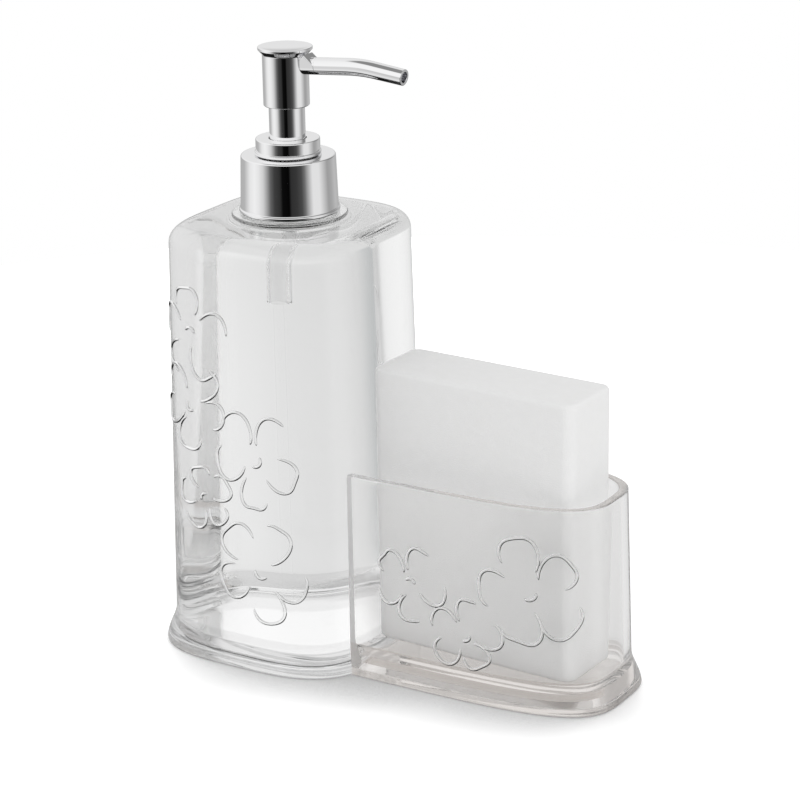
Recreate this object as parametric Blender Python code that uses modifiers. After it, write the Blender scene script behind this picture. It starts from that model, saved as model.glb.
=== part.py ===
"""Dish soap dispenser: a clear pump bottle with a sponge well joined to its right side.

Metres, +Z up. The origin is on the table, at the middle of the whole object. The bottle and the
pump stand on the pump's axis, at x = PUMP_X, and the well lies on the +X side of the bottle.
"""

from math import cos, pi, sin, sqrt, tan

import bmesh
import bpy
from mathutils import Matrix, Vector

# Clearances and overruns
GAP = 0.0003
OVERRUN = 0.004
MERGE = 0.00001

# Facet counts
RING_POINTS = 64
SHOW_STEPS = 32
INNER_STEPS = 24
ARC_STEPS = 4
SPOUT_STEPS = 4
DRILL_STEPS = 2
WIRE_STEPS = 1
SPRING_STEPS = 12

# Foot and walls shared by the bottle and the well
PLATE_THICKNESS = 0.0026
PLATE_EDGE = 0.0006
FLARE = 0.0030
FLARE_HEIGHT = 0.0125
DRAFT = 0.025
WALL = 0.0030

# Bottle: a rounded square in plan, a little squarer at its top than at its foot
BOTTLE_HALF_X = 0.0428
BOTTLE_HALF_Y = 0.0434
BOTTLE_FOOT_POWER = 3.4
BOTTLE_TOP_POWER = 3.9
BOTTLE_HEIGHT = 0.1545
SHOULDER_RADIUS = 0.0062
INNER_SHOULDER_RADIUS = 0.0040
PLUG_HEIGHT = 0.0039

# Sponge well: WELL_REACH is how far it stands out past the bottle's foot
WELL_REACH = 0.0899
WELL_HALF_X = 0.0733
WELL_HALF_Y = 0.0293
WELL_POWER = 3.6
WELL_HEIGHT = 0.0727
WELL_FLOOR = 0.0030
WELL_FLOOR_TOP = 0.0086
RIM_EDGE = 0.0007

# Sponge: it stands in the well with its left end near the bottle's side
SPONGE_SLACK = 0.0057
SPONGE_SIDE_ROOM = 0.0076
SPONGE_HEIGHT = 0.0998
SPONGE_END_CLEARANCE = 0.0009
SPONGE_TURN = -0.057
SPONGE_CORNER = 0.0032
SPONGE_EDGE = 0.0015

# Moving core of the pump, from the stem outwards
STEM_RADIUS = 0.0039
STEM_BORE = 0.0022
ROD_RADIUS = 0.0023
SPRING_WIRE = 0.0009
SPRING_CLEARANCE = 0.00035
SPRING_TURNS = 7
SLEEVE_CLEARANCE = 0.0005
SLEEVE_WALL = 0.0006
STROKE = 0.0105
STOP_CLEARANCE = 0.0009

# Bush, housing, neck and collar, each outside the last
GUIDE_WALL = 0.0009
GUIDE_WAIST_STEP = 0.00085
GUIDE_FLANGE_STEP = 0.0019
GUIDE_LEDGE = 0.0015
BARREL_WALL = 0.0010
BARREL_FLANGE_STEP = 0.00445
BARREL_FLANGE = 0.0014
NECK_AIR = 0.00245
NECK_WALL = 0.0022
NECK_EDGE = 0.0004
THREAD_CLEARANCE = 0.0004
LINER_WALL = 0.00175
LINER_TOP = 0.0017
COLLAR_WALL = 0.00065
COLLAR_TAPER = 0.0006
COLLAR_EDGE = 0.0003
COLLAR_LIP = 0.0005
COLLAR_LIP_HEIGHT = 0.0009
COLLAR_LIFT = 0.0004

# Neck insert and the bottle's bead round it
NECK_HEIGHT = 0.0141
NECK_FLANGE = 0.0013
PLUG_STEP = 0.0032
PLUG_WALL = 0.0016
PLUG_DEPTH = 0.0042
FLANGE_STEP = 0.0037
BEAD_STEP = 0.0010
BEAD_HEIGHT = 0.0008
GASKET_THICKNESS = 0.0012

# Hub
HUB_WALL = 0.0007
HUB_HEIGHT = 0.0055
HUB_EDGE = 0.00025
HUB_FOOT_STEP = 0.0004
HUB_FOOT_HEIGHT = 0.0010

# Piston, rod and housing below the bush
SLEEVE_OVERLAP = 0.0014
SEAL_DROP = 0.0010
SEAL_HEIGHT = 0.0033
SEAL_LIP = 0.0006
SEAL_GROOVE = 0.0009
SEAL_SLIP = 0.0010
ROD_IN_STEM = 0.0078
ROD_BORE = 0.0012
ROD_PORT = 0.0007
ROD_HEAD_STEP = 0.0027
ROD_HEAD_HEIGHT = 0.0015
ROD_HEAD_EDGE = 0.0005
END_CLEARANCE = 0.0005
BARREL_CONE = 0.0012
BALL_RADIUS = 0.0020
BALL_LIFT = 0.0015
CHAMBER_CLEARANCE = 0.0005
INLET_RADIUS = 0.0012
INLET_LENGTH = 0.0014
LIP_RADIUS = 0.0017
LIP_HEIGHT = 0.0008
DIP_RADIUS = 0.0019
DIP_WALL = 0.0006
DIP_SOCKET_LENGTH = 0.0167
STUB_WALL = 0.0009
DIP_FLOOR_CLEARANCE = 0.0015
DIP_CUT_ANGLE = 0.6

# Head and spout
CORE_STEP = 0.00075
HEAD_WALL = 0.0007
HEAD_HEIGHT = 0.02046
HEAD_EDGE = 0.0004
DISC_STEP = 0.00147
DISC_RIM = 0.0010
DISC_TAPER = 0.0016
DISC_DISH = 0.0005
DISC_DISH_EDGE = 0.0007
HEAD_ROOF = 0.0020
SLEEVE_IN_HEAD = 0.0032
STEM_IN_HEAD = 0.0084
CHANNEL_RADIUS = 0.0018
CHANNEL_ROOF = 0.0023
SPOUT_DROP = 0.0067
SPOUT_ROOT_X = 0.0026
SPOUT_BEND_X = 0.0305
SPOUT_TIP_X = 0.0474
SPOUT_RISE = 0.0740
SPOUT_FALL = 0.1180
SPOUT_BEND_RADIUS = 0.055
SPOUT_RADIUS = 0.00295
SPOUT_TIP_RADIUS = 0.0028
SPOUT_EDGE = 0.0002
SPOUT_BORE = 0.0018
SPIGOT_RADIUS = 0.0022
BOSS_STEP = 0.0050
BOSS_CHIN_STEP = 0.0043
BOSS_CHIN_RISE = 0.0014
BOSS_PEAK_STEP = 0.00125
BOSS_PEAK_RISE = 0.0042
BOSS_ROOT_RISE = 0.0020

# Radii that follow from the sizes above
SPRING_OUTER = STEM_RADIUS + SPRING_CLEARANCE + SPRING_WIRE
SLEEVE_INNER = SPRING_OUTER + SLEEVE_CLEARANCE
SLEEVE_OUTER = SLEEVE_INNER + SLEEVE_WALL
GUIDE_BORE = SLEEVE_OUTER + GAP
GUIDE_SLEEVE = GUIDE_BORE + GUIDE_WALL
GUIDE_WAIST = GUIDE_SLEEVE + GUIDE_WAIST_STEP
GUIDE_FLANGE_RADIUS = GUIDE_WAIST + GUIDE_FLANGE_STEP
BARREL_BORE = GUIDE_SLEEVE + GAP
BARREL_OUTER = BARREL_BORE + BARREL_WALL
BARREL_FLANGE_RADIUS = BARREL_OUTER + BARREL_FLANGE_STEP
NECK_BORE = BARREL_OUTER + NECK_AIR
NECK_OUTER = NECK_BORE + NECK_WALL
LINER_INNER = NECK_OUTER + THREAD_CLEARANCE
LINER_OUTER = LINER_INNER + LINER_WALL
COLLAR_INNER = LINER_OUTER + GAP
COLLAR_OUTER = COLLAR_INNER + COLLAR_WALL
COLLAR_HOLE = GUIDE_WAIST + GAP
HUB_INNER = GUIDE_FLANGE_RADIUS + GAP
HUB_OUTER = HUB_INNER + HUB_WALL
PLUG_RADIUS = NECK_OUTER + PLUG_STEP
NECK_HOLE = PLUG_RADIUS + GAP
NECK_FLANGE_RADIUS = PLUG_RADIUS + FLANGE_STEP
BEAD_RADIUS = NECK_FLANGE_RADIUS + BEAD_STEP
CORE_RADIUS = SLEEVE_OUTER + CORE_STEP
HEAD_INNER = CORE_RADIUS + GAP
HEAD_RADIUS = HEAD_INNER + HEAD_WALL
DISC_RADIUS = HEAD_RADIUS + DISC_STEP
BOSS_END_X = HEAD_RADIUS + BOSS_STEP
STUB_RADIUS = DIP_RADIUS + GAP + STUB_WALL
CHAMBER_RADIUS = BALL_RADIUS + CHAMBER_CLEARANCE
ROD_HEAD_RADIUS = ROD_RADIUS + ROD_HEAD_STEP
SEAL_INNER = ROD_RADIUS + GAP

# Places and heights that follow from the sizes above
PUMP_X = -WELL_REACH / 2
WELL_CENTRE_X = BOTTLE_HALF_X + WELL_REACH - WELL_HALF_X
SPONGE_LENGTH = WELL_REACH - DRAFT * WELL_HEIGHT - WALL - SPONGE_SLACK
SPONGE_THICKNESS = 2 * (WELL_HALF_Y - FLARE - DRAFT * WELL_HEIGHT - WALL - SPONGE_SIDE_ROOM)
SPONGE_CENTRE_X = BOTTLE_HALF_X - FLARE + SPONGE_END_CLEARANCE + SPONGE_LENGTH / 2
SHELL_FOOT = PLATE_THICKNESS + GAP
SHOULDER_START = BOTTLE_HEIGHT - SHOULDER_RADIUS
BOTTLE_ROOF = BOTTLE_HEIGHT - WALL
PLUG_TOP = PLATE_THICKNESS + PLUG_HEIGHT
FLANGE_FOOT = BOTTLE_HEIGHT + BEAD_HEIGHT + GAP
FLANGE_TOP = FLANGE_FOOT + NECK_FLANGE
NECK_TOP = FLANGE_TOP + NECK_HEIGHT
GASKET_FOOT = NECK_TOP + GAP
BARREL_FLANGE_FOOT = GASKET_FOOT + GASKET_THICKNESS + GAP
BARREL_TOP = BARREL_FLANGE_FOOT + BARREL_FLANGE
LINER_ROOF = BARREL_TOP + GAP
COLLAR_ROOF = LINER_ROOF + LINER_TOP + GAP
COLLAR_TOP = COLLAR_ROOF + COLLAR_WALL
COLLAR_FOOT = FLANGE_TOP + COLLAR_LIFT
HUB_FOOT = COLLAR_TOP + GAP
HUB_TOP = HUB_FOOT + HUB_HEIGHT
GUIDE_TOP = HUB_TOP - HUB_WALL - GAP
SLEEVE_FOOT = HUB_TOP - SLEEVE_OVERLAP
LEDGE_TOP = SLEEVE_FOOT - STROKE - GAP
GUIDE_FOOT = LEDGE_TOP - GUIDE_LEDGE
SEAL_TOP = GUIDE_FOOT - SEAL_DROP
SEAL_FOOT = SEAL_TOP - SEAL_HEIGHT
STEM_FOOT = SEAL_TOP + SEAL_SLIP + GAP
ROD_TOP = STEM_FOOT + ROD_IN_STEM
ROD_HEAD_TOP = SEAL_FOOT - GAP
ROD_FOOT = ROD_HEAD_TOP - ROD_HEAD_HEIGHT
BARREL_FLOOR = ROD_FOOT - STROKE - END_CLEARANCE
LIP_TOP = BARREL_FLOOR - BARREL_CONE
CHAMBER_TOP = LIP_TOP - LIP_HEIGHT
BALL_CENTRE = CHAMBER_TOP - GAP - BALL_LIFT - BALL_RADIUS
SEAT_FOOT = BALL_CENTRE + INLET_RADIUS - sqrt(2) * (BALL_RADIUS + GAP)
SEAT_TOP = SEAT_FOOT + CHAMBER_RADIUS - INLET_RADIUS
SOCKET_TOP = SEAT_FOOT - INLET_LENGTH
STUB_FOOT = SOCKET_TOP - DIP_SOCKET_LENGTH
DIP_TOP = SOCKET_TOP - GAP
DIP_FOOT = PLUG_TOP + DIP_FLOOR_CLEARANCE
HEAD_FOOT = HUB_TOP + STROKE + STOP_CLEARANCE
HEAD_TOP = HEAD_FOOT + HEAD_HEIGHT
HEAD_CEILING = HEAD_TOP - DISC_DISH - HEAD_ROOF
CORE_FOOT = HEAD_FOOT + GAP
CORE_TOP = HEAD_CEILING - GAP
SLEEVE_TOP = HEAD_FOOT + SLEEVE_IN_HEAD
STEM_TOP = HEAD_FOOT + STEM_IN_HEAD
SPOUT_AXIS_Z = HEAD_TOP - SPOUT_DROP
SPONGE_FOOT = WELL_FLOOR_TOP + GAP


def clear_scene():
    """Remove every object that the file opened with."""
    for obj in list(bpy.data.objects):
        bpy.data.objects.remove(obj, do_unlink=True)


def new_collection(name):
    collection = bpy.data.collections.new(name)
    bpy.context.scene.collection.children.link(collection)
    return collection


def new_material(name, colour, roughness, metallic=0.0, alpha=1.0):
    """A Principled material with the part's colour and finish."""
    material = bpy.data.materials.new(name)
    material.use_nodes = True
    shader = material.node_tree.nodes["Principled BSDF"]
    shader.inputs["Base Color"].default_value = (*colour, 1.0)
    shader.inputs["Roughness"].default_value = roughness
    shader.inputs["Metallic"].default_value = metallic
    shader.inputs["Alpha"].default_value = alpha
    return material


class Build:
    """Where the parts and the cutters go, and the empties that carry them."""

    def __init__(self):
        self.parts = new_collection("dish_soap_dispenser")
        self.cutters = new_collection("cutters")
        self.pump_axis = self.empty("pump_axis", (PUMP_X, 0, 0))

    def empty(self, name, place):
        obj = bpy.data.objects.new(name, None)
        obj.location = place
        self.parts.objects.link(obj)
        return obj

    def part(self, name, mesh, material, parent=None):
        obj = bpy.data.objects.new(name, mesh)
        mesh.materials.append(material)
        obj.parent = parent
        self.parts.objects.link(obj)
        return obj

    def cutter(self, name, mesh, parent=None):
        obj = bpy.data.objects.new(name, mesh)
        obj.parent = parent
        obj.hide_render = True
        obj.display_type = "WIRE"
        self.cutters.objects.link(obj)
        return obj


def combine(obj, other, operation):
    """Cut obj with other, or join other to it."""
    modifier = obj.modifiers.new(operation.lower() + "_" + other.name, "BOOLEAN")
    modifier.operation = operation
    modifier.object = other
    modifier.solver = "EXACT"


def flare_at(z):
    """How far the foot stands out at height z: an eased curve, full at the table, none at its top."""
    rise = min(max(z, 0) / FLARE_HEIGHT, 1)
    return FLARE * (1 + cos(pi * rise)) / 2


def oval(centre_x, half_x, half_y, z, power):
    """One ring of points on the superellipse |x/a|^power + |y/b|^power = 1.

    The points lie at equal polar angles on the shape with both halves 1, which is then stretched,
    so that the tight corners keep as many points as the flat sides.
    """
    ring = []
    for step in range(RING_POINTS):
        angle = 2 * pi * step / RING_POINTS
        reach = (abs(cos(angle)) ** power + abs(sin(angle)) ** power) ** (-1 / power)
        place = (centre_x + half_x * reach * cos(angle), half_y * reach * sin(angle), z)
        ring.append(Vector(place))
    return ring


def bottle_oval(z, inset, flared=True):
    """The bottle's outline at height z, drawn in by inset, with or without the flare of its foot."""
    shrink = DRAFT * max(z, 0) + FLARE - (flare_at(z) if flared else 0) + inset
    climb = min(max(z, 0) / BOTTLE_HEIGHT, 1)
    power = BOTTLE_FOOT_POWER + (BOTTLE_TOP_POWER - BOTTLE_FOOT_POWER) * climb
    return oval(0, BOTTLE_HALF_X - shrink, BOTTLE_HALF_Y - shrink, z, power)


def well_oval(z, inset, flared=True):
    """The well's outline at height z, drawn in by inset."""
    shrink = DRAFT * max(z, 0) + FLARE - (flare_at(z) if flared else 0) + inset
    return oval(WELL_CENTRE_X, WELL_HALF_X - shrink, WELL_HALF_Y - shrink, z, WELL_POWER)


def circle(radius, z):
    return oval(0, radius, radius, z, 2)


def flare_heights(start):
    """Heights of the rings up the flared foot, from start to the top of the flare."""
    return [start + (FLARE_HEIGHT - start) * step / ARC_STEPS for step in range(ARC_STEPS + 1)]


def loft(name, rings, hollow=False):
    """Skin a stack of rings. A hollow stack closes on its first ring, and a solid one is capped."""
    shape = bmesh.new()
    rows = [[shape.verts.new(point) for point in ring] for ring in rings]
    pairs = list(zip(rows, rows[1:]))
    if hollow:
        pairs.append((rows[-1], rows[0]))
    for low, high in pairs:
        for here in range(RING_POINTS):
            there = (here + 1) % RING_POINTS
            shape.faces.new((low[here], low[there], high[there], high[here]))
    if not hollow:
        shape.faces.new(list(reversed(rows[0])))
        shape.faces.new(rows[-1])
    bmesh.ops.recalc_face_normals(shape, faces=shape.faces)
    mesh = bpy.data.meshes.new(name)
    shape.to_mesh(mesh)
    shape.free()
    mesh.shade_smooth()
    mesh.set_sharp_from_angle(angle=pi / 6)
    return mesh


def turned(build, name, profile, material, steps, open_ended=False):
    """Turn a profile of (radius, height) points about the pump's axis.

    A ring's profile is closed: out over its top, down its outer side, and up its bore. An open
    profile starts and ends on the axis.
    """
    mesh = bpy.data.meshes.new(name)
    count = len(profile)
    edges = [(at, at + 1) for at in range(count - 1)]
    if not open_ended:
        edges.append((count - 1, 0))
    mesh.from_pydata([(radius, 0, height) for radius, height in profile], edges, [])
    obj = build.part(name, mesh, material, build.pump_axis)
    screw = obj.modifiers.new("turn", "SCREW")
    screw.steps = steps
    screw.render_steps = steps
    screw.use_merge_vertices = True
    screw.merge_threshold = MERGE
    screw.use_smooth_shade = False
    return obj


def rod_between(name, start, end, radius):
    """A closed cylinder mesh from one point to another."""
    along = Vector(end) - Vector(start)
    middle = (Vector(start) + Vector(end)) / 2
    turn = Vector((0, 0, 1)).rotation_difference(along.normalized()).to_matrix().to_4x4()
    shape = bmesh.new()
    bmesh.ops.create_cone(
        shape,
        cap_ends=True,
        segments=INNER_STEPS,
        radius1=radius,
        radius2=radius,
        depth=along.length,
        matrix=Matrix.Translation(middle) @ turn,
    )
    mesh = bpy.data.meshes.new(name)
    shape.to_mesh(mesh)
    shape.free()
    return mesh


def welded_mesh(name, curve):
    """The mesh of a curve, with its caps welded on."""
    obj = bpy.data.objects.new(name, curve)
    bpy.context.scene.collection.objects.link(obj)
    graph = bpy.context.evaluated_depsgraph_get()
    mesh = bpy.data.meshes.new_from_object(obj.evaluated_get(graph))
    bpy.data.objects.remove(obj, do_unlink=True)
    shape = bmesh.new()
    shape.from_mesh(mesh)
    bmesh.ops.remove_doubles(shape, verts=shape.verts, dist=MERGE)
    shape.to_mesh(mesh)
    shape.free()
    mesh.name = name
    return mesh


def slab_mesh(name, outline, half):
    """A flat outline of (x, z) points that reaches half a thickness to each side of y = 0."""
    curve = bpy.data.curves.new(name, "CURVE")
    curve.dimensions = "2D"
    curve.fill_mode = "BOTH"
    curve.extrude = half
    spline = curve.splines.new("POLY")
    spline.points.add(len(outline) - 1)
    for target, (x, z) in zip(spline.points, outline):
        target.co = (x, z, 0, 1)
    spline.use_cyclic_u = True
    mesh = welded_mesh(name, curve)
    mesh.transform(Matrix.Rotation(pi / 2, 4, "X"))
    return mesh


def curve_mesh(name, points, radii, sides_level):
    """The mesh of a filled curve through points."""
    curve = bpy.data.curves.new(name, "CURVE")
    curve.dimensions = "3D"
    curve.bevel_depth = radii[0]
    curve.bevel_resolution = sides_level
    curve.use_fill_caps = True
    spline = curve.splines.new("POLY")
    spline.points.add(len(points) - 1)
    for target, place, radius in zip(spline.points, points, radii):
        target.co = (*place, 1)
        target.radius = radius / radii[0]
    return welded_mesh(name, curve)


def bottle_outside(grow):
    """Rings of the bottle's outer wall, from its foot to where the shoulder starts."""
    rings = [bottle_oval(z, -grow) for z in flare_heights(SHELL_FOOT)]
    rings.append(bottle_oval(SHOULDER_START, -grow))
    return rings


def shoulder_rings(top, radius, wall):
    """Rings round the shoulder's fillet, from the wall up to the flat top. wall is its thickness."""
    start = top - radius
    rings = []
    for step in range(1, ARC_STEPS + 1):
        angle = pi / 2 * step / ARC_STEPS
        ring = bottle_oval(start, wall + radius * (1 - cos(angle)))
        for point in ring:
            point.z = start + radius * sin(angle)
        rings.append(ring)
    return rings


def make_bottle(build, clear):
    """The bottle: one moulding, open below, with a bead round the hole for the neck."""
    outside = bottle_outside(0) + shoulder_rings(BOTTLE_HEIGHT, SHOULDER_RADIUS, 0)
    mouth = [
        circle(BEAD_RADIUS, BOTTLE_HEIGHT),
        circle(BEAD_RADIUS, BOTTLE_HEIGHT + BEAD_HEIGHT),
        circle(NECK_HOLE, BOTTLE_HEIGHT + BEAD_HEIGHT),
        circle(NECK_HOLE, BOTTLE_ROOF),
    ]
    inside = [bottle_oval(SHELL_FOOT, WALL, flared=False)]
    inside.append(bottle_oval(BOTTLE_ROOF - INNER_SHOULDER_RADIUS, WALL))
    inside += shoulder_rings(BOTTLE_ROOF, INNER_SHOULDER_RADIUS, WALL)
    mesh = loft("bottle_shell", outside + mouth + list(reversed(inside)), hollow=True)
    build.part("bottle_shell", mesh, clear, build.pump_axis)

    plug_inset = WALL + GAP
    plate = [
        bottle_oval(0, PLATE_EDGE),
        bottle_oval(PLATE_EDGE, 0),
        bottle_oval(PLATE_THICKNESS, 0),
        bottle_oval(PLATE_THICKNESS, plug_inset, flared=False),
        bottle_oval(PLUG_TOP, plug_inset, flared=False),
    ]
    build.part("bottle_base_plate", loft("bottle_base_plate", plate), clear, build.pump_axis)


def make_well(build, clear):
    """The sponge well: a drafted cup with a flared foot, cut back to the bottle's side."""
    clearance_rings = [bottle_oval(-OVERRUN, -GAP), *bottle_outside(GAP)]
    side = build.cutter("bottle_side", loft("bottle_side", clearance_rings), build.pump_axis)

    wall_top = WELL_HEIGHT - RIM_EDGE
    outside = [well_oval(z, 0) for z in flare_heights(SHELL_FOOT)]
    outside += [well_oval(wall_top, 0), well_oval(WELL_HEIGHT, RIM_EDGE)]
    well = build.part("sponge_holder", loft("sponge_holder", outside), clear, build.pump_axis)

    cup = [
        well_oval(WELL_FLOOR_TOP, WALL, flared=False),
        well_oval(wall_top, WALL),
        well_oval(WELL_HEIGHT, WALL - RIM_EDGE),
        well_oval(WELL_HEIGHT + OVERRUN, WALL - RIM_EDGE),
    ]
    combine(well, build.cutter("cup", loft("cup", cup), build.pump_axis), "DIFFERENCE")

    recess_top = WELL_FLOOR_TOP - WELL_FLOOR
    recess = [well_oval(z, WALL, flared=False) for z in (SHELL_FOOT - OVERRUN, recess_top)]
    combine(well, build.cutter("recess", loft("recess", recess), build.pump_axis), "DIFFERENCE")
    combine(well, side, "DIFFERENCE")

    plate = [well_oval(0, PLATE_EDGE), well_oval(PLATE_EDGE, 0), well_oval(PLATE_THICKNESS, 0)]
    base = build.part("holder_base_plate", loft("holder_base_plate", plate), clear, build.pump_axis)
    combine(base, side, "DIFFERENCE")


def make_sponge(build, foam):
    """The sponge: a block with rounded upright corners and softly rounded edges."""
    shape = bmesh.new()
    bmesh.ops.create_cube(shape, size=1)
    size = (SPONGE_LENGTH, SPONGE_THICKNESS, SPONGE_HEIGHT)
    bmesh.ops.scale(shape, vec=size, verts=shape.verts)
    bmesh.ops.translate(shape, vec=(0, 0, SPONGE_HEIGHT / 2), verts=shape.verts)
    upright = [edge for edge in shape.edges if abs(edge.verts[0].co.z - edge.verts[1].co.z) > GAP]
    bmesh.ops.bevel(
        shape, geom=upright, offset=SPONGE_CORNER, segments=ARC_STEPS, profile=0.5, affect="EDGES"
    )
    mesh = bpy.data.meshes.new("sponge")
    shape.to_mesh(mesh)
    shape.free()
    sponge = build.part("sponge", mesh, foam)
    sponge.location = (PUMP_X + SPONGE_CENTRE_X, 0, SPONGE_FOOT)
    sponge.rotation_euler = (0, 0, SPONGE_TURN)
    bevel = sponge.modifiers.new("soft_edges", "BEVEL")
    bevel.width = SPONGE_EDGE
    bevel.segments = 2
    bevel.limit_method = "ANGLE"


def make_neck(build, clear, rubber):
    """The threaded neck with its flange and plug, and the washer on its rim."""
    plug_foot = FLANGE_FOOT - BEAD_HEIGHT - PLUG_DEPTH
    plug_inner = PLUG_RADIUS - PLUG_WALL
    profile = [
        (NECK_BORE, NECK_TOP),
        (NECK_OUTER - NECK_EDGE, NECK_TOP),
        (NECK_OUTER, NECK_TOP - NECK_EDGE),
        (NECK_OUTER, FLANGE_TOP),
        (NECK_FLANGE_RADIUS - NECK_EDGE, FLANGE_TOP),
        (NECK_FLANGE_RADIUS, FLANGE_TOP - NECK_EDGE),
        (NECK_FLANGE_RADIUS, FLANGE_FOOT),
        (PLUG_RADIUS, FLANGE_FOOT),
        (PLUG_RADIUS, plug_foot),
        (plug_inner, plug_foot),
        (plug_inner, FLANGE_FOOT),
        (NECK_BORE, FLANGE_FOOT),
    ]
    turned(build, "neck_insert", profile, clear, SHOW_STEPS)

    inner = BARREL_OUTER + GAP
    gasket = [
        (inner, GASKET_FOOT + GASKET_THICKNESS),
        (NECK_OUTER, GASKET_FOOT + GASKET_THICKNESS),
        (NECK_OUTER, GASKET_FOOT),
        (inner, GASKET_FOOT),
    ]
    turned(build, "neck_gasket", gasket, rubber, INNER_STEPS)


def make_collar(build, chrome, plastic):
    """The chrome skirt, and the screw cap inside it."""
    lip = COLLAR_OUTER + COLLAR_TAPER + COLLAR_LIP
    lip_top = COLLAR_FOOT + COLLAR_LIP_HEIGHT
    skirt = [
        (COLLAR_HOLE, COLLAR_TOP),
        (COLLAR_OUTER - COLLAR_EDGE, COLLAR_TOP),
        (COLLAR_OUTER, COLLAR_TOP - COLLAR_EDGE),
        (COLLAR_OUTER + COLLAR_TAPER, lip_top + COLLAR_LIP),
        (lip, lip_top),
        (lip, COLLAR_FOOT),
        (COLLAR_INNER + COLLAR_TAPER, COLLAR_FOOT),
        (COLLAR_INNER, COLLAR_ROOF),
        (COLLAR_HOLE, COLLAR_ROOF),
    ]
    turned(build, "screw_collar", skirt, chrome, SHOW_STEPS)

    liner_foot = lip_top
    cap = [
        (COLLAR_HOLE, LINER_ROOF + LINER_TOP),
        (LINER_OUTER, LINER_ROOF + LINER_TOP),
        (LINER_OUTER, liner_foot),
        (LINER_INNER, liner_foot),
        (LINER_INNER, LINER_ROOF),
        (COLLAR_HOLE, LINER_ROOF),
    ]
    turned(build, "collar_liner", cap, plastic, SHOW_STEPS)


def make_hub(build, chrome, plastic):
    """The chrome ring on the collar, and the bush under it that guides the stem."""
    foot_radius = HUB_OUTER + HUB_FOOT_STEP
    ring = [
        (GUIDE_BORE, HUB_TOP),
        (HUB_OUTER - HUB_EDGE, HUB_TOP),
        (HUB_OUTER, HUB_TOP - HUB_EDGE),
        (HUB_OUTER, HUB_FOOT + HUB_FOOT_HEIGHT + HUB_EDGE),
        (foot_radius, HUB_FOOT + HUB_FOOT_HEIGHT),
        (foot_radius, HUB_FOOT),
        (HUB_INNER, HUB_FOOT),
        (HUB_INNER, HUB_TOP - HUB_WALL),
        (GUIDE_BORE, HUB_TOP - HUB_WALL),
    ]
    turned(build, "pump_hub", ring, chrome, SHOW_STEPS)

    stem_hole = STEM_RADIUS + GAP
    bush = [
        (GUIDE_BORE, GUIDE_TOP),
        (GUIDE_FLANGE_RADIUS, GUIDE_TOP),
        (GUIDE_FLANGE_RADIUS, HUB_FOOT),
        (GUIDE_WAIST, HUB_FOOT),
        (GUIDE_WAIST, LINER_ROOF),
        (GUIDE_SLEEVE, LINER_ROOF),
        (GUIDE_SLEEVE, GUIDE_FOOT),
        (stem_hole, GUIDE_FOOT),
        (stem_hole, LEDGE_TOP),
        (GUIDE_BORE, LEDGE_TOP),
    ]
    turned(build, "stem_guide", bush, plastic, INNER_STEPS)


def make_housing(build, plastic, tube_plastic, steel):
    """The pump housing with its ball seat and tube socket, the check ball, and the dip tube."""
    socket = DIP_RADIUS + GAP
    housing = [
        (BARREL_BORE, BARREL_TOP),
        (BARREL_FLANGE_RADIUS, BARREL_TOP),
        (BARREL_FLANGE_RADIUS, BARREL_FLANGE_FOOT),
        (BARREL_OUTER, BARREL_FLANGE_FOOT),
        (BARREL_OUTER, BARREL_FLOOR),
        (STUB_RADIUS, CHAMBER_TOP),
        (STUB_RADIUS, STUB_FOOT),
        (socket, STUB_FOOT),
        (socket, SOCKET_TOP),
        (INLET_RADIUS, SOCKET_TOP),
        (INLET_RADIUS, SEAT_FOOT),
        (CHAMBER_RADIUS, SEAT_TOP),
        (CHAMBER_RADIUS, CHAMBER_TOP),
        (LIP_RADIUS, CHAMBER_TOP),
        (LIP_RADIUS, LIP_TOP),
        (BARREL_BORE, BARREL_FLOOR),
    ]
    turned(build, "pump_cylinder", housing, plastic, INNER_STEPS)

    shape = bmesh.new()
    bmesh.ops.create_uvsphere(
        shape, u_segments=INNER_STEPS // 2, v_segments=INNER_STEPS // 3, radius=BALL_RADIUS
    )
    mesh = bpy.data.meshes.new("inlet_ball")
    shape.to_mesh(mesh)
    shape.free()
    ball = build.part("inlet_ball", mesh, steel, build.pump_axis)
    ball.location = (0, 0, BALL_CENTRE)

    bore = DIP_RADIUS - DIP_WALL
    tube = [(bore, DIP_TOP), (DIP_RADIUS, DIP_TOP), (DIP_RADIUS, DIP_FOOT), (bore, DIP_FOOT)]
    dip = turned(build, "dip_tube", tube, tube_plastic, INNER_STEPS)

    cut = bmesh.new()
    bmesh.ops.create_cube(cut, size=1)
    block = OVERRUN + DIP_RADIUS * 2
    bmesh.ops.scale(cut, vec=(block, block, block), verts=cut.verts)
    bmesh.ops.translate(cut, vec=(0, 0, -block / 2), verts=cut.verts)
    slant = bpy.data.meshes.new("slant")
    cut.to_mesh(slant)
    cut.free()
    knife = build.cutter("tube_end", slant, build.pump_axis)
    knife.location = (0, 0, DIP_FOOT + DIP_RADIUS * tan(DIP_CUT_ANGLE))
    knife.rotation_euler = (0, DIP_CUT_ANGLE, 0)
    combine(dip, knife, "DIFFERENCE")


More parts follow.
